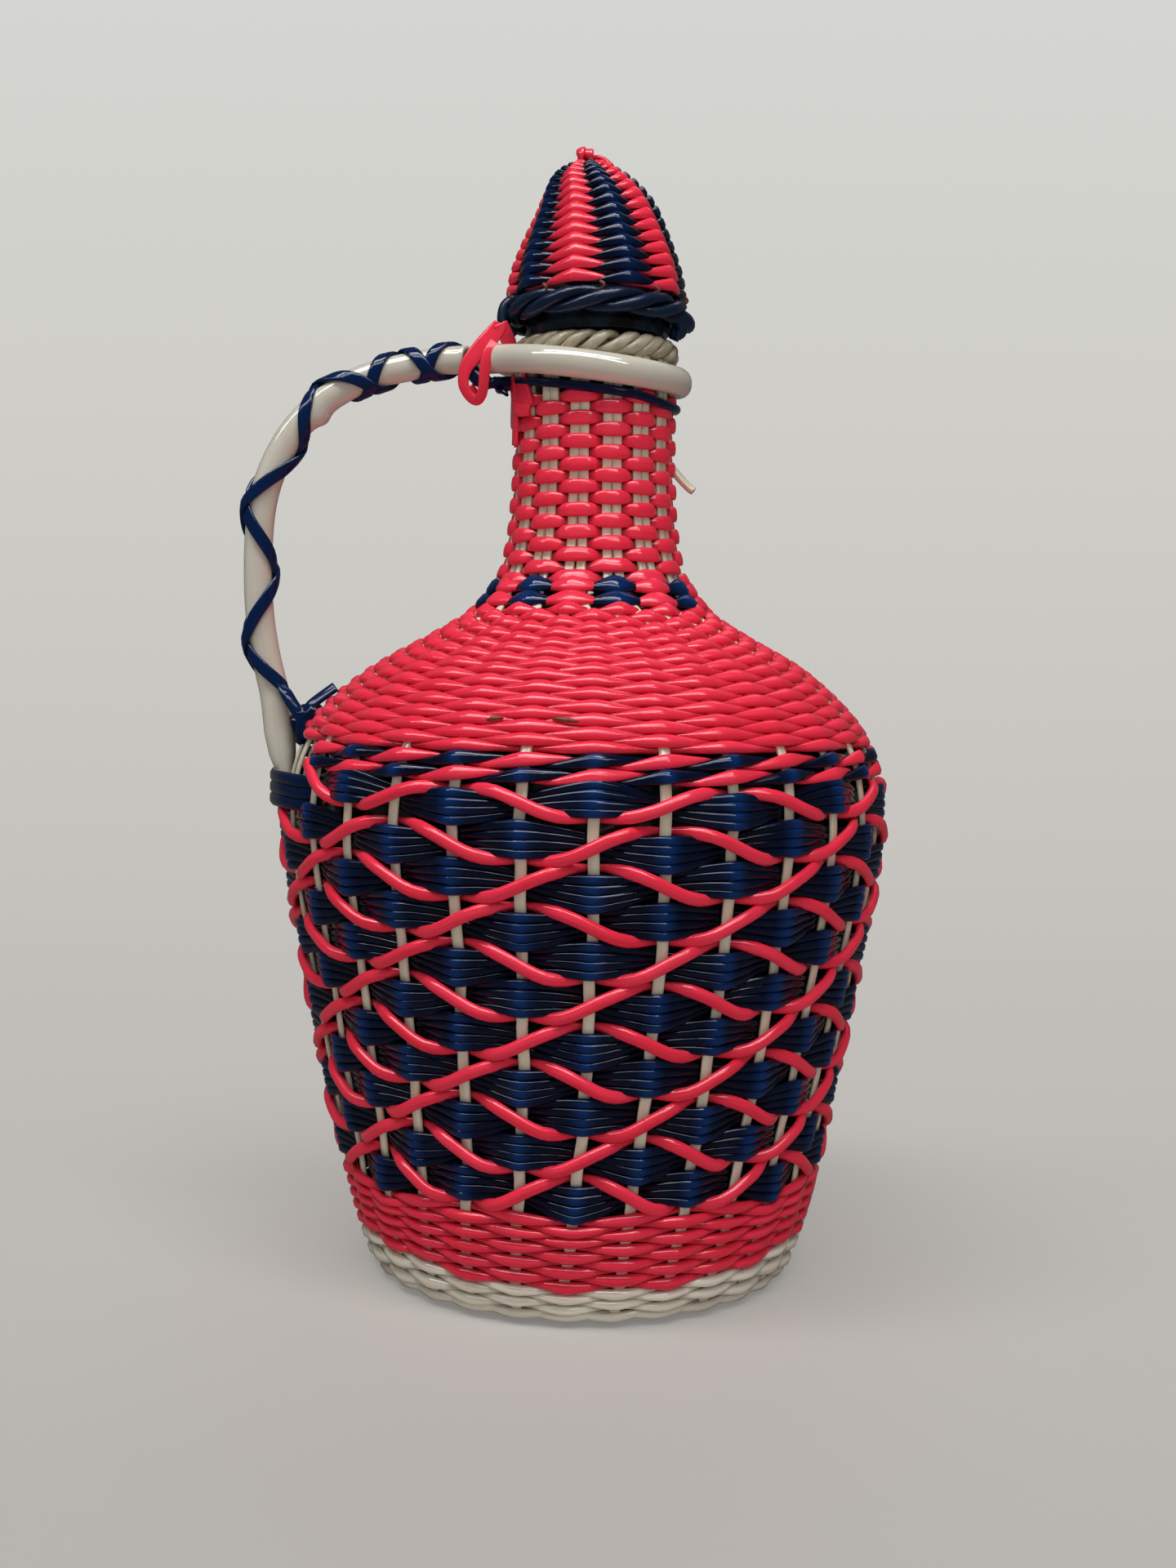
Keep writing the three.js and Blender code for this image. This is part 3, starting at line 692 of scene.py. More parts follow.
# coral neck, over and under pairs of stakes
neck = {
    "level": 206.8, "pitch": 2.76, "turns": (-14.4, 2.6), "over": 1.12, "under": -1.0, "high": 0.68,
    "slim": 0.45, "thick": 0.66, "square": 2.4, "drift": 0.1, "sides": 10, "pillow": (0.2, 0.62),
    "pillowWide": (0.16, 0.5)}
store = []
counts = stations(*(turns * basket["columns"] for turns in neck["turns"]))
runs = runAt(neck["level"]) + neck["pitch"] * counts / basket["columns"]
plainWeave(store, counts, runs, neck["pitch"], columnTurn(counts), neck, seed=91)
makePiece("neckWeave", store, coral, "bottle", "coral_cord", "neck_weave")
print("shoulder and neck woven")

# base: cream turns on the side with a twined edge, and a woven mat underneath
baseEdge = {
    "height": 1.25, "ends": (-14.55, 14.55), "climb": 0.45, "over": 0.75, "under": -0.45, "high": 1.25,
    "slim": 1.0, "thick": 0.95, "drift": 0.06, "showing": 0.1, "leaf": 0.8, "round": 0.5}
store = []
counts = stations(*baseEdge["ends"])
twinedRow((store, store), counts, runAt(baseEdge["height"]), stakeTurn(counts), baseEdge, seed=120)
lowerBand(store, 0, lowerWeave["creamTurns"], seed=123)
makePiece("baseRows", store, creamLitForBase, "bottle", "cream_cord", "base_border")

mat = {
    "inner": 7.0, "outer": 45.2, "pitch": 2.7, "level": 1.62, "lift": 0.5, "high": 1.3, "thick": 0.85,
    "spokeFrom": 2.0, "spokeTo": 46.4, "spokeLevel": 1.72, "spokeHalf": [(2, 0.35), (8, 0.6), (20, 1.2)],
    "spokeThick": 0.4, "spokePoints": 12, "sides": 6}
down = np.array([0, 0, -1.0])
store = []
counts = stations(0, (mat["outer"] - mat["inner"]) / mat["pitch"] * count)
over = np.cos(counts * math.pi)
centre = aroundAxis(mat["inner"] + mat["pitch"] * counts / count, np.radians(stakeTurn(counts)),
                    mat["level"] - mat["lift"] * over)
# tuck marks where the ring dips under the spokes, which the material darkens as painted shade
addStrand(store, centre, down, mat["high"], mat["thick"], sides=mat["sides"], tuck=(1 - over) / 2)
radius = np.linspace(mat["spokeFrom"], mat["spokeTo"], mat["spokePoints"])
half = np.interp(radius, *zip(*mat["spokeHalf"]))
for number in range(count):
    spoke = aroundAxis(radius, math.radians(stakeTurn(number)), mat["spokeLevel"])
    addStrand(store, spoke, down, half, mat["spokeThick"], sides=mat["sides"])
makePiece("baseMat", store, creamLitForBase, "bottle", "cream_cord", "base_mat")


# rope rings: strands twisted round a ring
def ropeRing(store, rope):
    pointsPerTwist = 20
    turn = np.linspace(0, fullTurn, pointsPerTwist * rope["twists"] + 1)[:-1]
    for strand in range(rope["strands"]):
        slack = rope["loose"] * (np.sin(3 * turn + 2 * strand) + 0.6 * np.sin(7 * turn + strand))
        phase = rope["twists"] * turn + strand * fullTurn / rope["strands"] + slack
        centre = aroundAxis(rope["radius"] + rope["across"] * np.cos(phase), turn,
                            rope["level"] + rope["up"] * np.sin(phase))
        # tuck marks each strand's inner side, which the material darkens as painted shade
        addStrand(store, centre, aroundAxis(np.cos(phase), turn, np.sin(phase)), rope["high"], rope["thick"],
                  closed=True, tuck=(1 - np.cos(phase)) / 2)


# braid round the mouth
braid = {
    "radius": 18.6, "level": 225.3, "strands": 3, "twists": 8, "up": 1.9, "across": 1.2, "thick": 1.1,
    "high": 1.5, "loose": 0.3}
store = []
ropeRing(store, braid)
makePiece("neckBraid", store, braidTan, "bottle", "braid_cord", "neck_braid")

# handle tube: round the neck, over the arch and down to the belly; its section turns upright past standFrom
tube = {
    "ringRadius": 22.2, "ringMiddle": -0.8, "ringLevel": 221.0, "tilt": (-0.119, 0.0955), "ringStep": 3.0,
    "ringFrom": -96, "ringTo": -409,
    "route": [(-29.9, -4.6, 222.9), (-37.5, -1.4, 223.2), (-44.9, 0, 222.1), (-54.3, 0, 219.9),
        (-63, 0, 216.2), (-70.3, 0, 211), (-75.7, 0, 205), (-79.7, 0, 198.1), (-82.4, 0, 190.7),
        (-83.8, 0, 182.2), (-84.1, 0, 170.2), (-83.4, 0, 158.1), (-81.4, 0, 147), (-79.3, 0, 138.5),
        (-78, 0, 130), (-77.2, 0, 124), (-76.3, 0, 119), (-75.4, 0, 111.7)],
    "half": 3.55, "wide": 2.95, "square": 2.15, "sides": 20, "spacing": 1.2, "eased": 4, "ringShare": 0.8,
    "gap": (-29.0, -31.8), "bore": 0.66, "boreDeep": 2.2, "boreShade": (1.0, 0.2), "standFrom": -22,
    "standOver": 10, "kink": (42.0, 2.4, 0.6), "footPast": -60,
    "footHalf": [(110, 1.8), (117, 1.9), (120.9, 2.6), (123.9, 3.35), (129.6, 3.95), (140, 3.66),
        (148, 3.55)]}


def tiltedLevel(points, level):
    return level + tube["tilt"][0] * points[:, 0] + tube["tilt"][1] * points[:, 1]


def tubePath():
    turn = np.radians(np.arange(tube["ringFrom"], tube["ringTo"], -tube["ringStep"]))
    ring = aroundAxis(tube["ringRadius"], turn, 0.0) + np.array([tube["ringMiddle"], 0, 0])
    ring[:, 2] = tiltedLevel(ring, tube["ringLevel"])
    rest = splineThrough(tube["route"], 12)
    # an easy curve from the ring to the arch
    reach = np.linalg.norm(rest[0] - ring[-1])
    leaving, joining = unit(ring[-1] - ring[-2]) * reach, unit(rest[1] - rest[0]) * reach
    t = np.linspace(0, 1, 14)[1:-1, None]
    bend = ((2 * t ** 3 - 3 * t ** 2 + 1) * ring[-1] + (t ** 3 - 2 * t ** 2 + t) * leaving
            + (3 * t ** 2 - 2 * t ** 3) * rest[0] + (t ** 3 - t ** 2) * joining)
    path = np.vstack([ring, bend, rest])
    run = runsAlong(path)
    places = np.arange(0, run[-1], tube["spacing"])
    path = np.stack([np.interp(places, run, path[:, k]) for k in range(3)], axis=1)
    for _ in range(tube["eased"]):
        path[1:-1] = (path[:-2] + 2 * path[1:-1] + path[2:]) / 4
    return path, places > runsAlong(ring)[-1] * tube["ringShare"]


path, pastRing = tubePath()
pathStep = unit(np.gradient(path, axis=0))
inPlane = unit(np.stack([pathStep[:, 2], np.zeros(len(path)), -pathStep[:, 0]], axis=1))
onArch = (smooth((tube["standFrom"] - path[:, 0]) / tube["standOver"]) * pastRing)[:, None]
pathUp = unit(np.array([0, 0, 1.0]) * (1 - onArch) + inPlane * onArch)


def tubeLength(store, points, steps, ups, half, openStart, openEnd):
    # a length of tube, bored out at its open ends, the bore darkened with painted shade
    half = np.broadcast_to(half, len(points))
    wide = np.full(len(points), tube["wide"])
    dark = np.zeros(len(points))
    for isOpen, i, inward in ((openStart, 0, 1), (openEnd, -1, -1)):
        if not isOpen:
            continue
        bore = [np.stack([points[i] + steps[i] * tube["boreDeep"] * inward, points[i]]),
                np.stack([steps[i]] * 2), np.stack([ups[i]] * 2),
                np.full(2, tube["bore"] * half[i]), np.full(2, tube["bore"] * wide[i]),
                np.array(tube["boreShade"])]
        lengths = (points, steps, ups, half, wide, dark)
        points, steps, ups, half, wide, dark = (
            np.concatenate([end, length] if i == 0 else [length, end[::-1]])
            for end, length in zip(bore, lengths))
    addStrand(store, points, ups, wide, half, sides=tube["sides"], square=tube["square"], tangent=steps,
              tuck=dark, tip=0)


store = []
loop = ~pastRing | (path[:, 0] > tube["gap"][0])
tubeLength(store, path[loop], pathStep[loop], pathUp[loop], tube["half"], True, True)
arch = pastRing & (path[:, 0] < tube["gap"][1])
archPath, archStep, archUp = path[arch], pathStep[arch], pathUp[arch]
archRun = runsAlong(archPath)
kinkAt, kinkLong, kinkHigh = tube["kink"]
kink = kinkHigh * np.exp(-((archRun - kinkAt) / kinkLong) ** 2)
footHalf = np.interp(archPath[:, 2], *zip(*tube["footHalf"]))
archHalf = np.where(archPath[:, 0] < tube["footPast"], footHalf, tube["half"]) + kink
archPath = archPath - archUp * kink[:, None]
tubeLength(store, archPath, archStep, archUp, archHalf, True, False)
makePiece("handleTube", store, tubeWhite, "bottle", "handle_plastic", "handle_tube")

# two flat navy strips wound round the arch in opposite ways, crossing on its inner and outer sides
# each whole turn, with the way along the arch in millimetres, is at the front
winding = {
    "half": 1.6, "thick": 0.56, "square": 3.0, "clear": 0.06, "over": 0.85, "reach": 3.0,
    "stepsPerTurn": 28,
    "inward": [(-0.45, 2.0), (0, 8.9), (1, 24.0), (2, 44.8), (3, 76.8), (4, 112.1), (4.15, 117.5)],
    "toKnot": [(-75.9, -4.3, 139.4), (-73.9, -4.6, 136.2), (-71.9, -4.4, 133.4), (-70.9, -4.0, 131.4)],
    "knotFace": (0.3, -1.0, 0.2),
    "outward": [(-0.5, 3.5), (0, 11.5), (1, 28.8), (2, 64.6), (3, 97.1), (3.5, 115.0), (3.72, 123.0)]}


def windStrip(store, turnPlaces, hand, under=None, ending=None):
    way = splineThrough(turnPlaces, 16)
    turns = np.arange(turnPlaces[0][0], turnPlaces[-1][0], 1 / winding["stepsPerTurn"])
    along = np.interp(turns, way[:, 0], way[:, 1])
    base, step, up = (np.stack([np.interp(along, archRun, v[:, k]) for k in range(3)], axis=1)
                      for v in (archPath, archStep, archUp))
    front = unit(np.cross(up, step))
    front = front * -np.sign(front[:, 1:2])
    toFront, toUp = np.cos(turns * fullTurn)[:, None], hand * np.sin(turns * fullTurn)[:, None]
    outward = unit(front * toFront / tube["wide"] + up * toUp / tube["half"])
    centre = base + front * toFront * tube["wide"] + up * toUp * tube["half"]
    centre = centre + outward * (winding["clear"] + winding["thick"])
    if under is not None:
        near = np.linalg.norm(centre[:, None, :] - under[None, :, :], axis=2).min(axis=1)
        centre = centre + outward * (winding["over"] * np.exp(-(near / winding["reach"]) ** 2))[:, None]
    if ending:
        tail = splineThrough([centre[-1]] + ending, 6)[1:]
        centre = np.vstack([centre, tail])
        blend = np.linspace(0, 1, len(tail))[:, None]
        knotFace = np.array(winding["knotFace"])
        outward = np.vstack([outward, unit(outward[-1] * (1 - blend) + knotFace * blend)])
    addStrand(store, centre, outward, winding["half"], winding["thick"], sides=12, square=winding["square"],
              backed=0.5)
    return centre


store = []
firstStrip = windStrip(store, winding["inward"], -1, ending=winding["toKnot"])
windStrip(store, winding["outward"], 1, under=firstStrip)
makePiece("handleWinding", store, navy, "bottle", "navy_cord", "handle_winding")

# flat coral strip tied round the tube beside the neck, and its ends down the neck
# each point of the route has half the strip's width beside it, each other strip one for its whole length
tie = {
    "route": [(-23.6, -8.8, 231.2, 1.7), (-24.6, -8.9, 229.6, 2.1), (-27.7, -9.0, 225.7, 2.4),
        (-31.0, -8.6, 221.9, 2.0), (-32.4, -8.2, 218.9, 1.5), (-32.5, -7.8, 216.0, 1.35),
        (-31.1, -7.4, 213.5, 1.3), (-29.3, -7.4, 212.4, 1.3), (-28.0, -8.4, 213.8, 1.3),
        (-27.5, -9.4, 216.4, 1.3), (-27.3, -10.0, 218.9, 1.35), (-26.9, -10.4, 221.8, 1.4),
        (-26.0, -10.2, 224.2, 1.5), (-24.8, -9.4, 226.4, 1.5)],
    "thick": 0.5, "square": 3.2, "middle": (-29.0, 219.5), "face": 16.0, "front": (0.2, -0.96, 0.1),
    "flaps": [
        ([(-20.6, -6.4, 222.0), (-21.4, -7.6, 226.3), (-22.4, -8.4, 228.8), (-23.7, -8.9, 231.2)], 1.9),
        ([(-31.2, -7.0, 215.9), (-30.2, -6.6, 214.6), (-29.3, -6.4, 213.2)], 1.2)],
    "onNeck": [
        ([(-20.7, -0.4, 210.6), (-20.2, -5.0, 211.8), (-18.7, -9.2, 213.2), (-16.2, -13.0, 215.0)], 4.6),
        ([(-20.7, -6.0, 218.6), (-20.1, -6.8, 213.5), (-19.6, -7.4, 207.5), (-19.7, -6.8, 201.5)], 1.7),
        ([(-19.6, -9.2, 210.6), (-18.2, -11.6, 209.4), (-16.0, -14.0, 209.2)], 1.5)]}
store = []
line = splineThrough(tie["route"], 8)
line, half = line[:, :3], line[:, 3]
middleX, middleZ = tie["middle"]
outward = unit(line * np.array([1, 0, 1]) - np.array([middleX, tie["face"], middleZ]))
addStrand(store, line, outward, half, tie["thick"], sides=12, square=tie["square"], tip=0)
for routes, facing in ((tie["flaps"], tie["front"]), (tie["onNeck"], awayFromAxis)):
    for route, half in routes:
        layStrip(store, route, facing, half, tie["thick"], tie["square"])
makePiece("handleTie", store, coral, "bottle", "coral_cord", "handle_tie")

# navy cord round the neck under the tube, flattened where it starts and pointed at its end
cord = {
    "radius": 20.4, "level": 215.8, "half": 1.2, "from": -76, "to": 262, "step": 3.0, "drop": 1.5,
    "dropFrom": 8, "dropOver": 13, "wide": 1.7, "wideTo": (4, 9), "point": 0.35, "pointFrom": 6,
    "start": [(-30.4, -5.6, 221.6), (-29.8, -6.6, 218.8), (-27.6, -7.0, 217.2), (-24.8, -7.2, 216.8)],
    "end": [(-23.4, -3.4, 216.0), (-23.6, -6.4, 215.4), (-22.4, -8.6, 214.4), (-21.6, -9.4, 213.4)]}
ring = aroundAxis(cord["radius"], np.radians(np.arange(cord["from"], cord["to"], cord["step"])), 0.0)
ring[:, 2] = tiltedLevel(ring, cord["level"])
ring[:, 2] -= cord["drop"] * smooth((ring[:, 0] - cord["dropFrom"]) / cord["dropOver"])
centre = splineThrough(np.vstack([cord["start"], ring, cord["end"]]), 2)
number = len(centre)
places = [0, *cord["wideTo"], number - cord["pointFrom"], number - 1]
half = np.interp(np.arange(number), places, [cord["wide"], cord["wide"], 1, 1, cord["point"]]) * cord["half"]
store = []
addStrand(store, centre, awayFromAxis(centre), half, half, sides=10, square=2.0, backed=0.2)
makePiece("neckCord", store, navy, "bottle", "navy_cord", "neck_cord")

# navy strands bound round the tube's foot and the stake beside it
foot = {
    "levels": (113.5, 116.3, 119.1), "half": 1.65, "thick": 1.0, "square": 2.4, "middle": (-70.0, 0, 0),
    "route": [(-63.4, -29.5, -0.6), (-68.9, -25.6, -0.3), (-73.1, -20.4, 0), (-76.4, -13.0, 0),
        (-78.1, -6.5, 0), (-78.5, 0, 0), (-77.6, 6.5, 0), (-75.0, 13, 0), (-70.8, 20, -0.4),
        (-65.3, 27, -0.8)]}
store = []
line = splineThrough(foot["route"], 6)
outward = awayFromAxis(line - np.array(foot["middle"]))
for level in foot["levels"]:
    addStrand(store, line + np.array([0, 0, level]), outward, foot["half"], foot["thick"],
              square=foot["square"], backed=0.25)
makePiece("footBinding", store, navy, "bottle", "navy_cord", "foot_binding")

# knot that ends the winding: its wraps, by their middle and how far they lean, and its cut tail and a strap,
# by their route, the way they face, half their width and how much of their backing shows
knot = {
    "wraps": [(-71.1, -3.4, 132.4, 0.1), (-72.7, -2.4, 130.2, -0.4), (-69.7, -4.6, 133.6, 0.75)],
    "high": 3.6, "deep": 2.1, "narrow": 0.8, "half": 1.35, "thick": 0.6, "square": 2.8, "stripSquare": 5.0,
    "strips": [
        ([(-71.5, -4.8, 133.6), (-69.5, -5.6, 136.2), (-66.9, -5.4, 138.4), (-63.4, -4.8, 141.0)],
         (-0.35, -0.85, 0.45), 1.4, 0.5),
        ([(-71.7, -5.8, 134.6), (-71.5, -6.6, 131.6), (-71.5, -6.2, 128.6), (-72.1, -4.6, 126.8)],
         (-0.2, -1.0, 0.0), 1.35, 0.3)]}
store = []
t = np.linspace(0, fullTurn, 33)[:-1]
for x, y, z, lean in knot["wraps"]:
    across, up = knot["deep"] * np.cos(t), knot["high"] * np.sin(t)
    fromMiddle = np.stack([up * math.sin(lean) * knot["narrow"], -across, up * math.cos(lean)], axis=1)
    addStrand(store, fromMiddle + np.array([x, y, z]), unit(fromMiddle), knot["half"], knot["thick"],
              closed=True, square=knot["square"], backed=0.15)
for route, face, half, backed in knot["strips"]:
    layStrip(store, route, face, half, knot["thick"], knot["stripSquare"], backed=backed)
makePiece("windingKnot", store, navy, "bottle", "navy_cord", "winding_knot")

# loose end of a stake on the neck
looseEnd = {
    "route": [(19.4, -2.0, 197.0), (21.0, -2.2, 195.2), (22.6, -2.5, 193.4), (24.0, -2.8, 192.0),
        (25.0, -3.0, 191.3)],
    "face": (0.5, -0.7, 0.5), "half": 1.0, "thick": 0.85, "square": 4.0}
store = []
layStrip(store, looseEnd["route"], looseEnd["face"], looseEnd["half"], looseEnd["thick"], looseEnd["square"])
makePiece("stakeEnd", store, cream, "bottle", "cream_cord", "stake_end")
print("handle and ties made")

# stopper cap: coral and navy columns woven over ten ribs
cap = {
    "outline": [(22.7, 238.0), (21.6, 245.4), (19.2, 252.4), (16.6, 258.6), (13.2, 266), (9.4, 270.9),
        (4.4, 274.3), (0, 274.8)],
    "columns": 10, "firstColumn": -15.0, "short": 0.01, "rows": 16, "from": 2.6, "pitch": (3.4, 2.3),
    "topClear": 1.5, "climb": 0.4, "climbReach": 0.6, "dip": 1.45, "dipAt": 0.15, "over": 1.15,
    "under": -1.2, "depth": 1.7, "high": 1.72, "slim": 0.45, "leaf": 0.66, "leafShape": 0.8, "thick": 0.95,
    "smallest": 0.3, "fullRadius": 15, "twist": -20, "lean": -2.4, "leanFrom": 260, "leanOver": 15,
    "backed": 0.5, "showing": 0.16}
capSkin = makeSkin(cap["outline"])
coralStore, navyStore = [], []
counts = stations(0, cap["columns"] - cap["short"])


def capTurn(counts):
    return cap["firstColumn"] + 360 / cap["columns"] * counts


for row in range(cap["rows"]):
    part = row / (cap["rows"] - 1)
    firstPitch, lastPitch = cap["pitch"]
    level = cap["from"] + firstPitch * row + (lastPitch - firstPitch) * row * part / 2
    radius = np.interp(level, capSkin["run"], capSkin["r"])
    size = min(1, between(cap["smallest"], 1, radius / cap["fullRadius"]))
    for odd, store in enumerate((coralStore, navyStore)):
        away = awayFromOver(counts + odd)
        spread = np.clip(1 - away / cap["leaf"], 0, 1) ** cap["leafShape"]
        run = level + cap["climb"] * slant(counts + odd, cap["climbReach"])
        run = run - cap["dip"] * size * (away - cap["dipAt"])
        run = np.clip(run, 0, capSkin["run"][-1] - cap["topClear"])
        lift = -cap["depth"] + size * between(cap["under"], cap["over"], ridge(away))
        centre, outward = laidOn(capSkin, capTurn(counts) + cap["twist"] * smooth(part), run, lift)
        centre[:, 0] += cap["lean"] * smooth((centre[:, 2] - cap["leanFrom"]) / cap["leanOver"])
        half = size * between(cap["slim"], cap["high"], spread)
        addStrand(store, centre, outward, half, cap["thick"] * size, closed=True, tuck=tucked(away),
                  backed=cap["backed"] * backing(away, cap["showing"]))
makePiece("capCoral", coralStore, coral, "stopper", "coral_cord")
makePiece("capNavy", navyStore, navy, "stopper", "navy_cord", "cap_weave")

# twisted navy border under the cap, with slack loops at its sides
border = {
    "radius": 20.9, "level": 235.1, "strands": 3, "twists": 4, "up": 2.0, "across": 1.4, "thick": 1.4,
    "high": 1.65, "loose": 0.0, "loopHalf": 1.9, "loopThick": 1.52,
    "loops": [
        [(-20.5, -4.5, 238.2), (-22.6, -4.8, 236.4), (-23.2, -5.0, 233.2), (-22.4, -5.2, 230.4),
         (-20.4, -4.8, 229.6)],
        [(19.6, -8.0, 234.4), (22.0, -6.0, 233.6), (23.2, -3.0, 233.0), (22.8, -0.6, 233.0),
         (20.5, 1.0, 234.0)],
        [(20.2, -6.6, 233.4), (21.2, -6.2, 231.4), (20.4, -5.8, 229.8), (18.8, -5.0, 230.4)]]}
store = []
ropeRing(store, border)
for route in border["loops"]:
    layStrip(store, route, awayFromAxis, border["loopHalf"], border["loopThick"], 2.0, tip=0.5)
makePiece("capBorder", store, navyDull, "stopper", "navy_cord", "cap_border")

# frayed ends of the ribs, tucked in above the border: out from the axis, across and up
fray = {
    "route": [(21.4, -0.8, 236.9), (22.7, 0.2, 237.6), (23.3, 0.4, 238.2), (22.9, -0.5, 238.9)],
    "half": 0.4, "thick": 0.3}
store = []
for number in range(cap["columns"]):
    turn = math.radians(capTurn(number + 0.5))
    outward, across, up = aroundAxis(1, turn, 0), aroundAxis(1, turn + math.pi / 2, 0), np.array([0, 0, 1])
    line = np.array(fray["route"]) @ np.stack([outward, across, up])
    addStrand(store, splineThrough(line, 4), outward, fray["half"], fray["thick"], sides=6)
makePiece("capFray", store, frayBrown, "stopper", "braid_cord")

# dark band round the collar under the border
collar = {
    "radius": 17.25, "level": 231.2, "height": 4.6, "thick": 1.0, "edge": 0.45, "edgeSteps": 3, "sag": 0.2,
    "sides": 72, "smoothTo": 40}
bpy.ops.object.select_all(action="DESELECT")
bpy.ops.mesh.primitive_cylinder_add(vertices=collar["sides"], radius=collar["radius"] * mm,
                                    depth=collar["height"] * mm, end_fill_type="NOTHING",
                                    location=(0, 0, collar["level"] * mm))
wrap = bpy.context.object
wrap.name = "collarWrap"
bpy.ops.object.transform_apply(location=True, rotation=True, scale=True)
for vertex in wrap.data.vertices:
    turn = math.atan2(vertex.co.x, -vertex.co.y)
    vertex.co.z += collar["sag"] * mm * math.sin(2 * turn)
applyModifier(wrap, "SOLIDIFY", thickness=collar["thick"] * mm, offset=0)
applyModifier(wrap, "BEVEL", width=collar["edge"] * mm, segments=collar["edgeSteps"], limit_method="ANGLE")
bpy.ops.object.shade_smooth_by_angle(angle=math.radians(collar["smoothTo"]))
settle(wrap, collarFinish, "stopper", "navy_cord")

# folded coral tip
tip = {
    "folds": [
        [(-4.6, 0.9, 272.6), (-4.7, -0.8, 273.8), (-4.6, -1.9, 275.2), (-4.5, -1.3, 276.6),
         (-4.3, 0.4, 276.6), (-4.2, 1.4, 275.0)],
        [(-2.5, 1.2, 273.8), (-2.5, -0.6, 274.2), (-2.5, -1.9, 275.2), (-2.5, -1.2, 276.4),
         (-2.5, 0.6, 276.3)],
        [(-1.4, 0.6, 274.4), (0.2, -0.6, 274.9), (1.6, -1.3, 274.0), (3.0, -1.6, 272.6)],
        [(-2.0, 2.0, 274.8), (0.0, 1.2, 275.2), (2.2, 1.0, 274.1), (3.6, 1.2, 272.8)]],
    "middle": (-2.4, 1.0, 272.6), "half": 1.2, "thick": 0.62, "square": 4.0}


def fromTip(points):
    return unit(points - np.array(tip["middle"]))


store = []
for route in tip["folds"]:
    layStrip(store, route, fromTip, tip["half"], tip["thick"], tip["square"])
makePiece("capTip", store, coral, "stopper", "coral_cord", "cap_knot")
print("stopper made")

# solids of the frame that show as they are
dress(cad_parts["glass_bottle"], glassFinish)
dress(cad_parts["stopper_plug"], corkFinish)
# the head inside the cap is near black, painted shade where it shows through the weave
dress(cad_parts["stopper_head"], coreFinish)

# floor, swept up behind, in metres
stage = {"size": 3.0, "back": 1.2, "height": 2.2, "curve": 0.5, "curveSteps": 12}
bpy.ops.object.select_all(action="DESELECT")
bpy.ops.mesh.primitive_plane_add(size=stage["size"], location=(0, stage["back"] - stage["size"] / 2, 0))
floor = bpy.context.object
floor.name = "floor"
bpy.ops.object.mode_set(mode="EDIT")
bpy.ops.mesh.select_all(action="DESELECT")
bpy.ops.object.mode_set(mode="OBJECT")
for edge in floor.data.edges:
    edge.select = all(floor.data.vertices[v].co.y > 0 for v in edge.vertices)
bpy.ops.object.mode_set(mode="EDIT")
bpy.ops.mesh.select_mode(type="EDGE")
bpy.ops.mesh.extrude_region_move(TRANSFORM_OT_translate={"value": (0, 0, stage["height"])})
bpy.ops.object.mode_set(mode="OBJECT")
applyModifier(floor, "BEVEL", width=stage["curve"], segments=stage["curveSteps"], limit_method="ANGLE")
bpy.ops.object.shade_smooth()
bpy.ops.object.transform_apply(location=True, rotation=True, scale=True)

# the far part shows a pale colour to the camera, darker towards the bottom as painted shade, the near floor
# keeps its shadow
# and the gloss of the cords mirrors a darker one
paper = {
    "floor": (0.46, 0.442, 0.418), "low": (0.585, 0.562, 0.532), "high": (0.668, 0.674, 0.642), "top": 0.8,
    "mirrored": (0.13, 0.125, 0.12), "rough": 0.6, "near": -0.155, "far": 1.2,
    "fade": [(0, 0), (0.055, 0.26), (0.13, 0.46), (0.26, 0.67), (0.55, 0.88), (1, 1)]}
material, tree, shader = newMaterial("paperFloor")
setInputs(shader, {"Base Color": (*paper["floor"], 1), "Roughness": paper["rough"]})
behind = addRamp(tree, partWay(tree, "Y", paper["near"], paper["far"]), paper["fade"])
# painted shade: the backdrop's colour darkens towards the bottom
colour = addRamp(tree, partWay(tree, "Z", 0, paper["top"]), [(0, paper["low"]), (1, paper["high"])])
pale = addNode(tree, "Emission", "Emission", {"Color": colour})
dull = addNode(tree, "BsdfDiffuse", "BSDF", {"Color": (*paper["mirrored"], 1)})
seen, mirrored = seenByCamera(tree)
shown = mixShaders(tree, joinValues(tree, "MULTIPLY", seen, behind), shader.outputs["BSDF"], pale)
shown = mixShaders(tree, mirrored, shown, dull)
setInputs(tree.nodes["Material Output"], {"Surface": shown})
dress(floor, material)

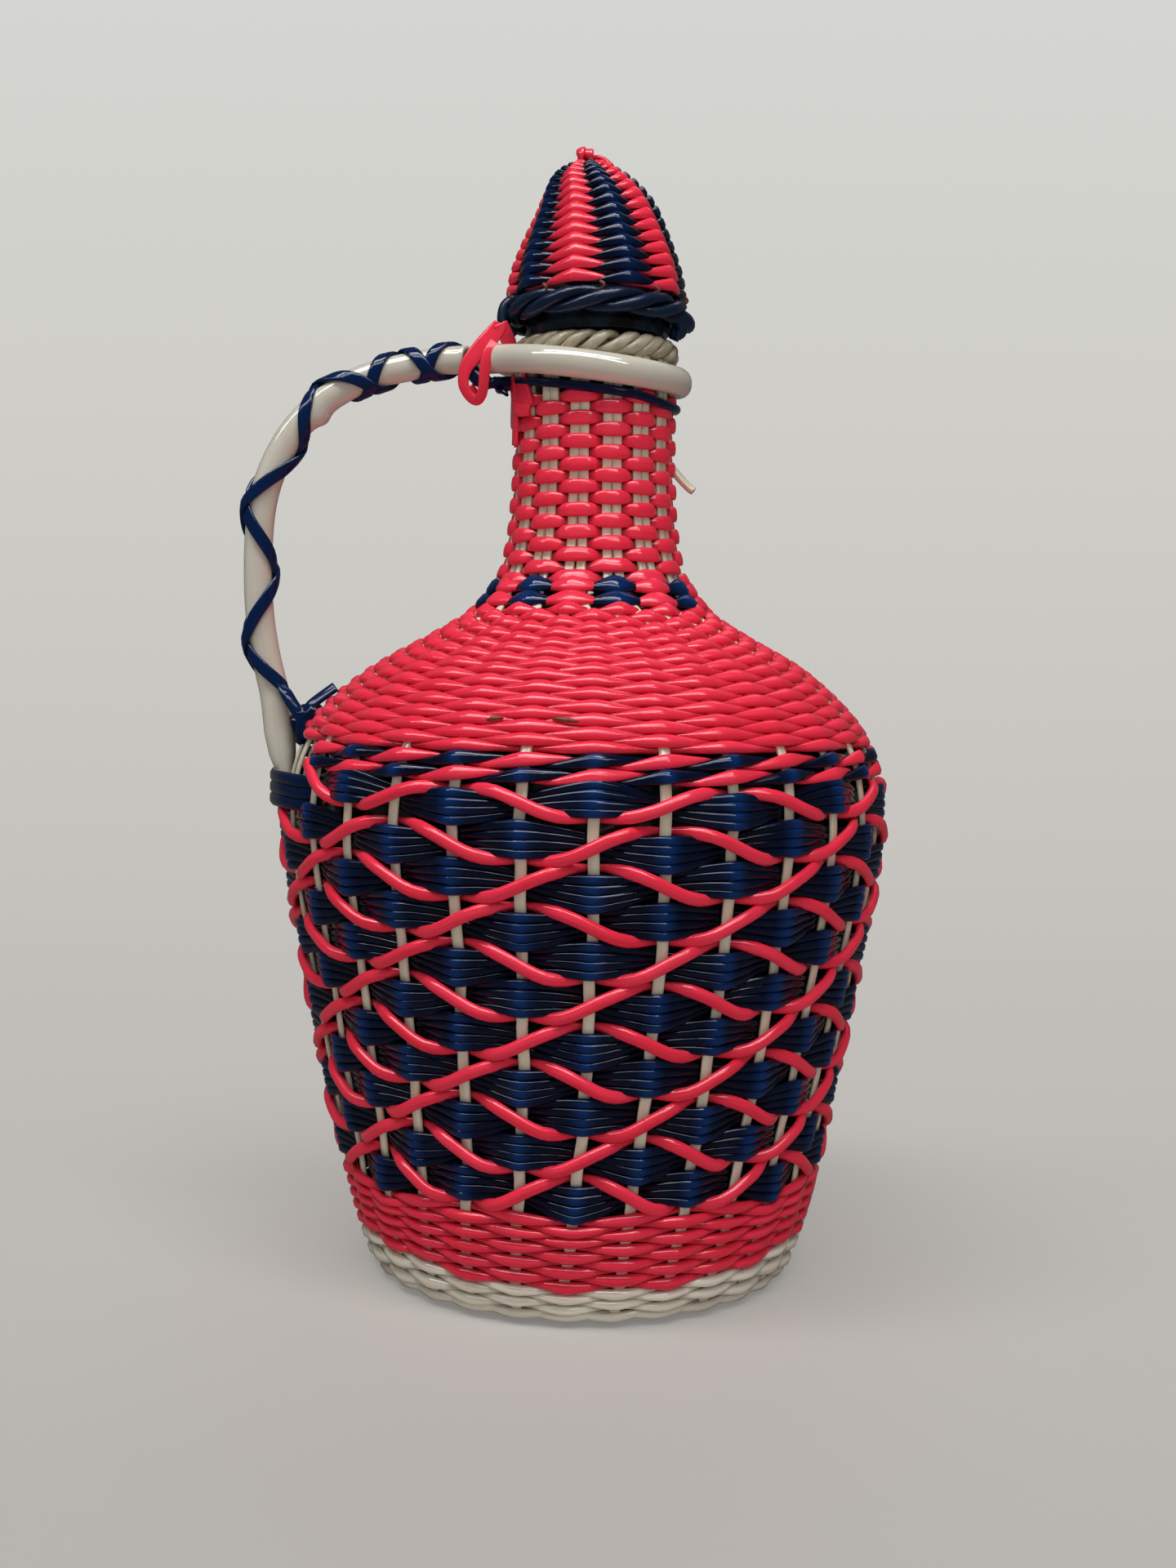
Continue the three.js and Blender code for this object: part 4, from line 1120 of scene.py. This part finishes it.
# soft lamps, in metres and watts: place, width and depth, power
lamps = {
    "key": ((-0.15, -0.72, 2.1), (2.4, 0.45), 46.5), "fill": ((0.2, -1.6, 1.0), (2.0, 1.6), 8.6),
    "rim": ((0.3, 0.9, 1.5), (1.2, 0.6), 2.0), "gloss": ((-0.35, -1.25, 1.75), (4.5, 0.38), 46.0)}
lampAim = np.array([0, 0, 0.13])
for name, (place, (wide, deep), power) in lamps.items():
    lamp = bpy.data.lights.new(name, "AREA")
    lamp.shape = "RECTANGLE"
    lamp.size = wide
    lamp.size_y = deep
    lamp.energy = power
    lampObject = addObject(name, lamp)
    lampObject.location = place
    x, y, z = lampAim - np.array(place)
    lampObject.rotation_euler = (math.pi / 2 + math.atan2(z, math.hypot(x, y)), 0, math.atan2(-x, y))
    lampObject.visible_glossy = name != "fill"
    lampObject.visible_diffuse = name != "gloss"

# a dim room, seen as pale as the paper past the floor's edges
room = {"light": (0.97, 0.98, 1.0), "strength": 0.07, "seen": (0.64, 0.64, 0.61)}
world = bpy.data.worlds.new("room")
world.use_nodes = True
tree = world.node_tree
dim = tree.nodes["Background"]
setInputs(dim, {"Color": (*room["light"], 1), "Strength": room["strength"]})
pale = addNode(tree, "Background", "Background", {"Color": (*room["seen"], 1)})
seen = seenByCamera(tree)[0]
shown = mixShaders(tree, seen, dim.outputs["Background"], pale)
setInputs(tree.nodes["World Output"], {"Surface": shown})
scene.world = world

# camera: place in millimetres, lens in millimetres on a 36 mm tall frame, roll in degrees
view = {"place": (-0.66, -431.6, 145.0), "lens": 39.375, "frame": 36, "roll": -0.92, "shift": -0.0697}
camera = bpy.data.cameras.new("camera")
camera.sensor_fit = "VERTICAL"
camera.sensor_height = view["frame"]
camera.lens = view["lens"]
camera.shift_y = view["shift"]
camera.dof.use_dof = False
cameraObject = addObject("camera", camera)
cameraObject.location = [v * mm for v in view["place"]]
cameraObject.rotation_euler = (math.pi / 2, math.radians(view["roll"]), 0)
scene.camera = cameraObject
scene.view_settings.view_transform = "Standard"
print("stage set")
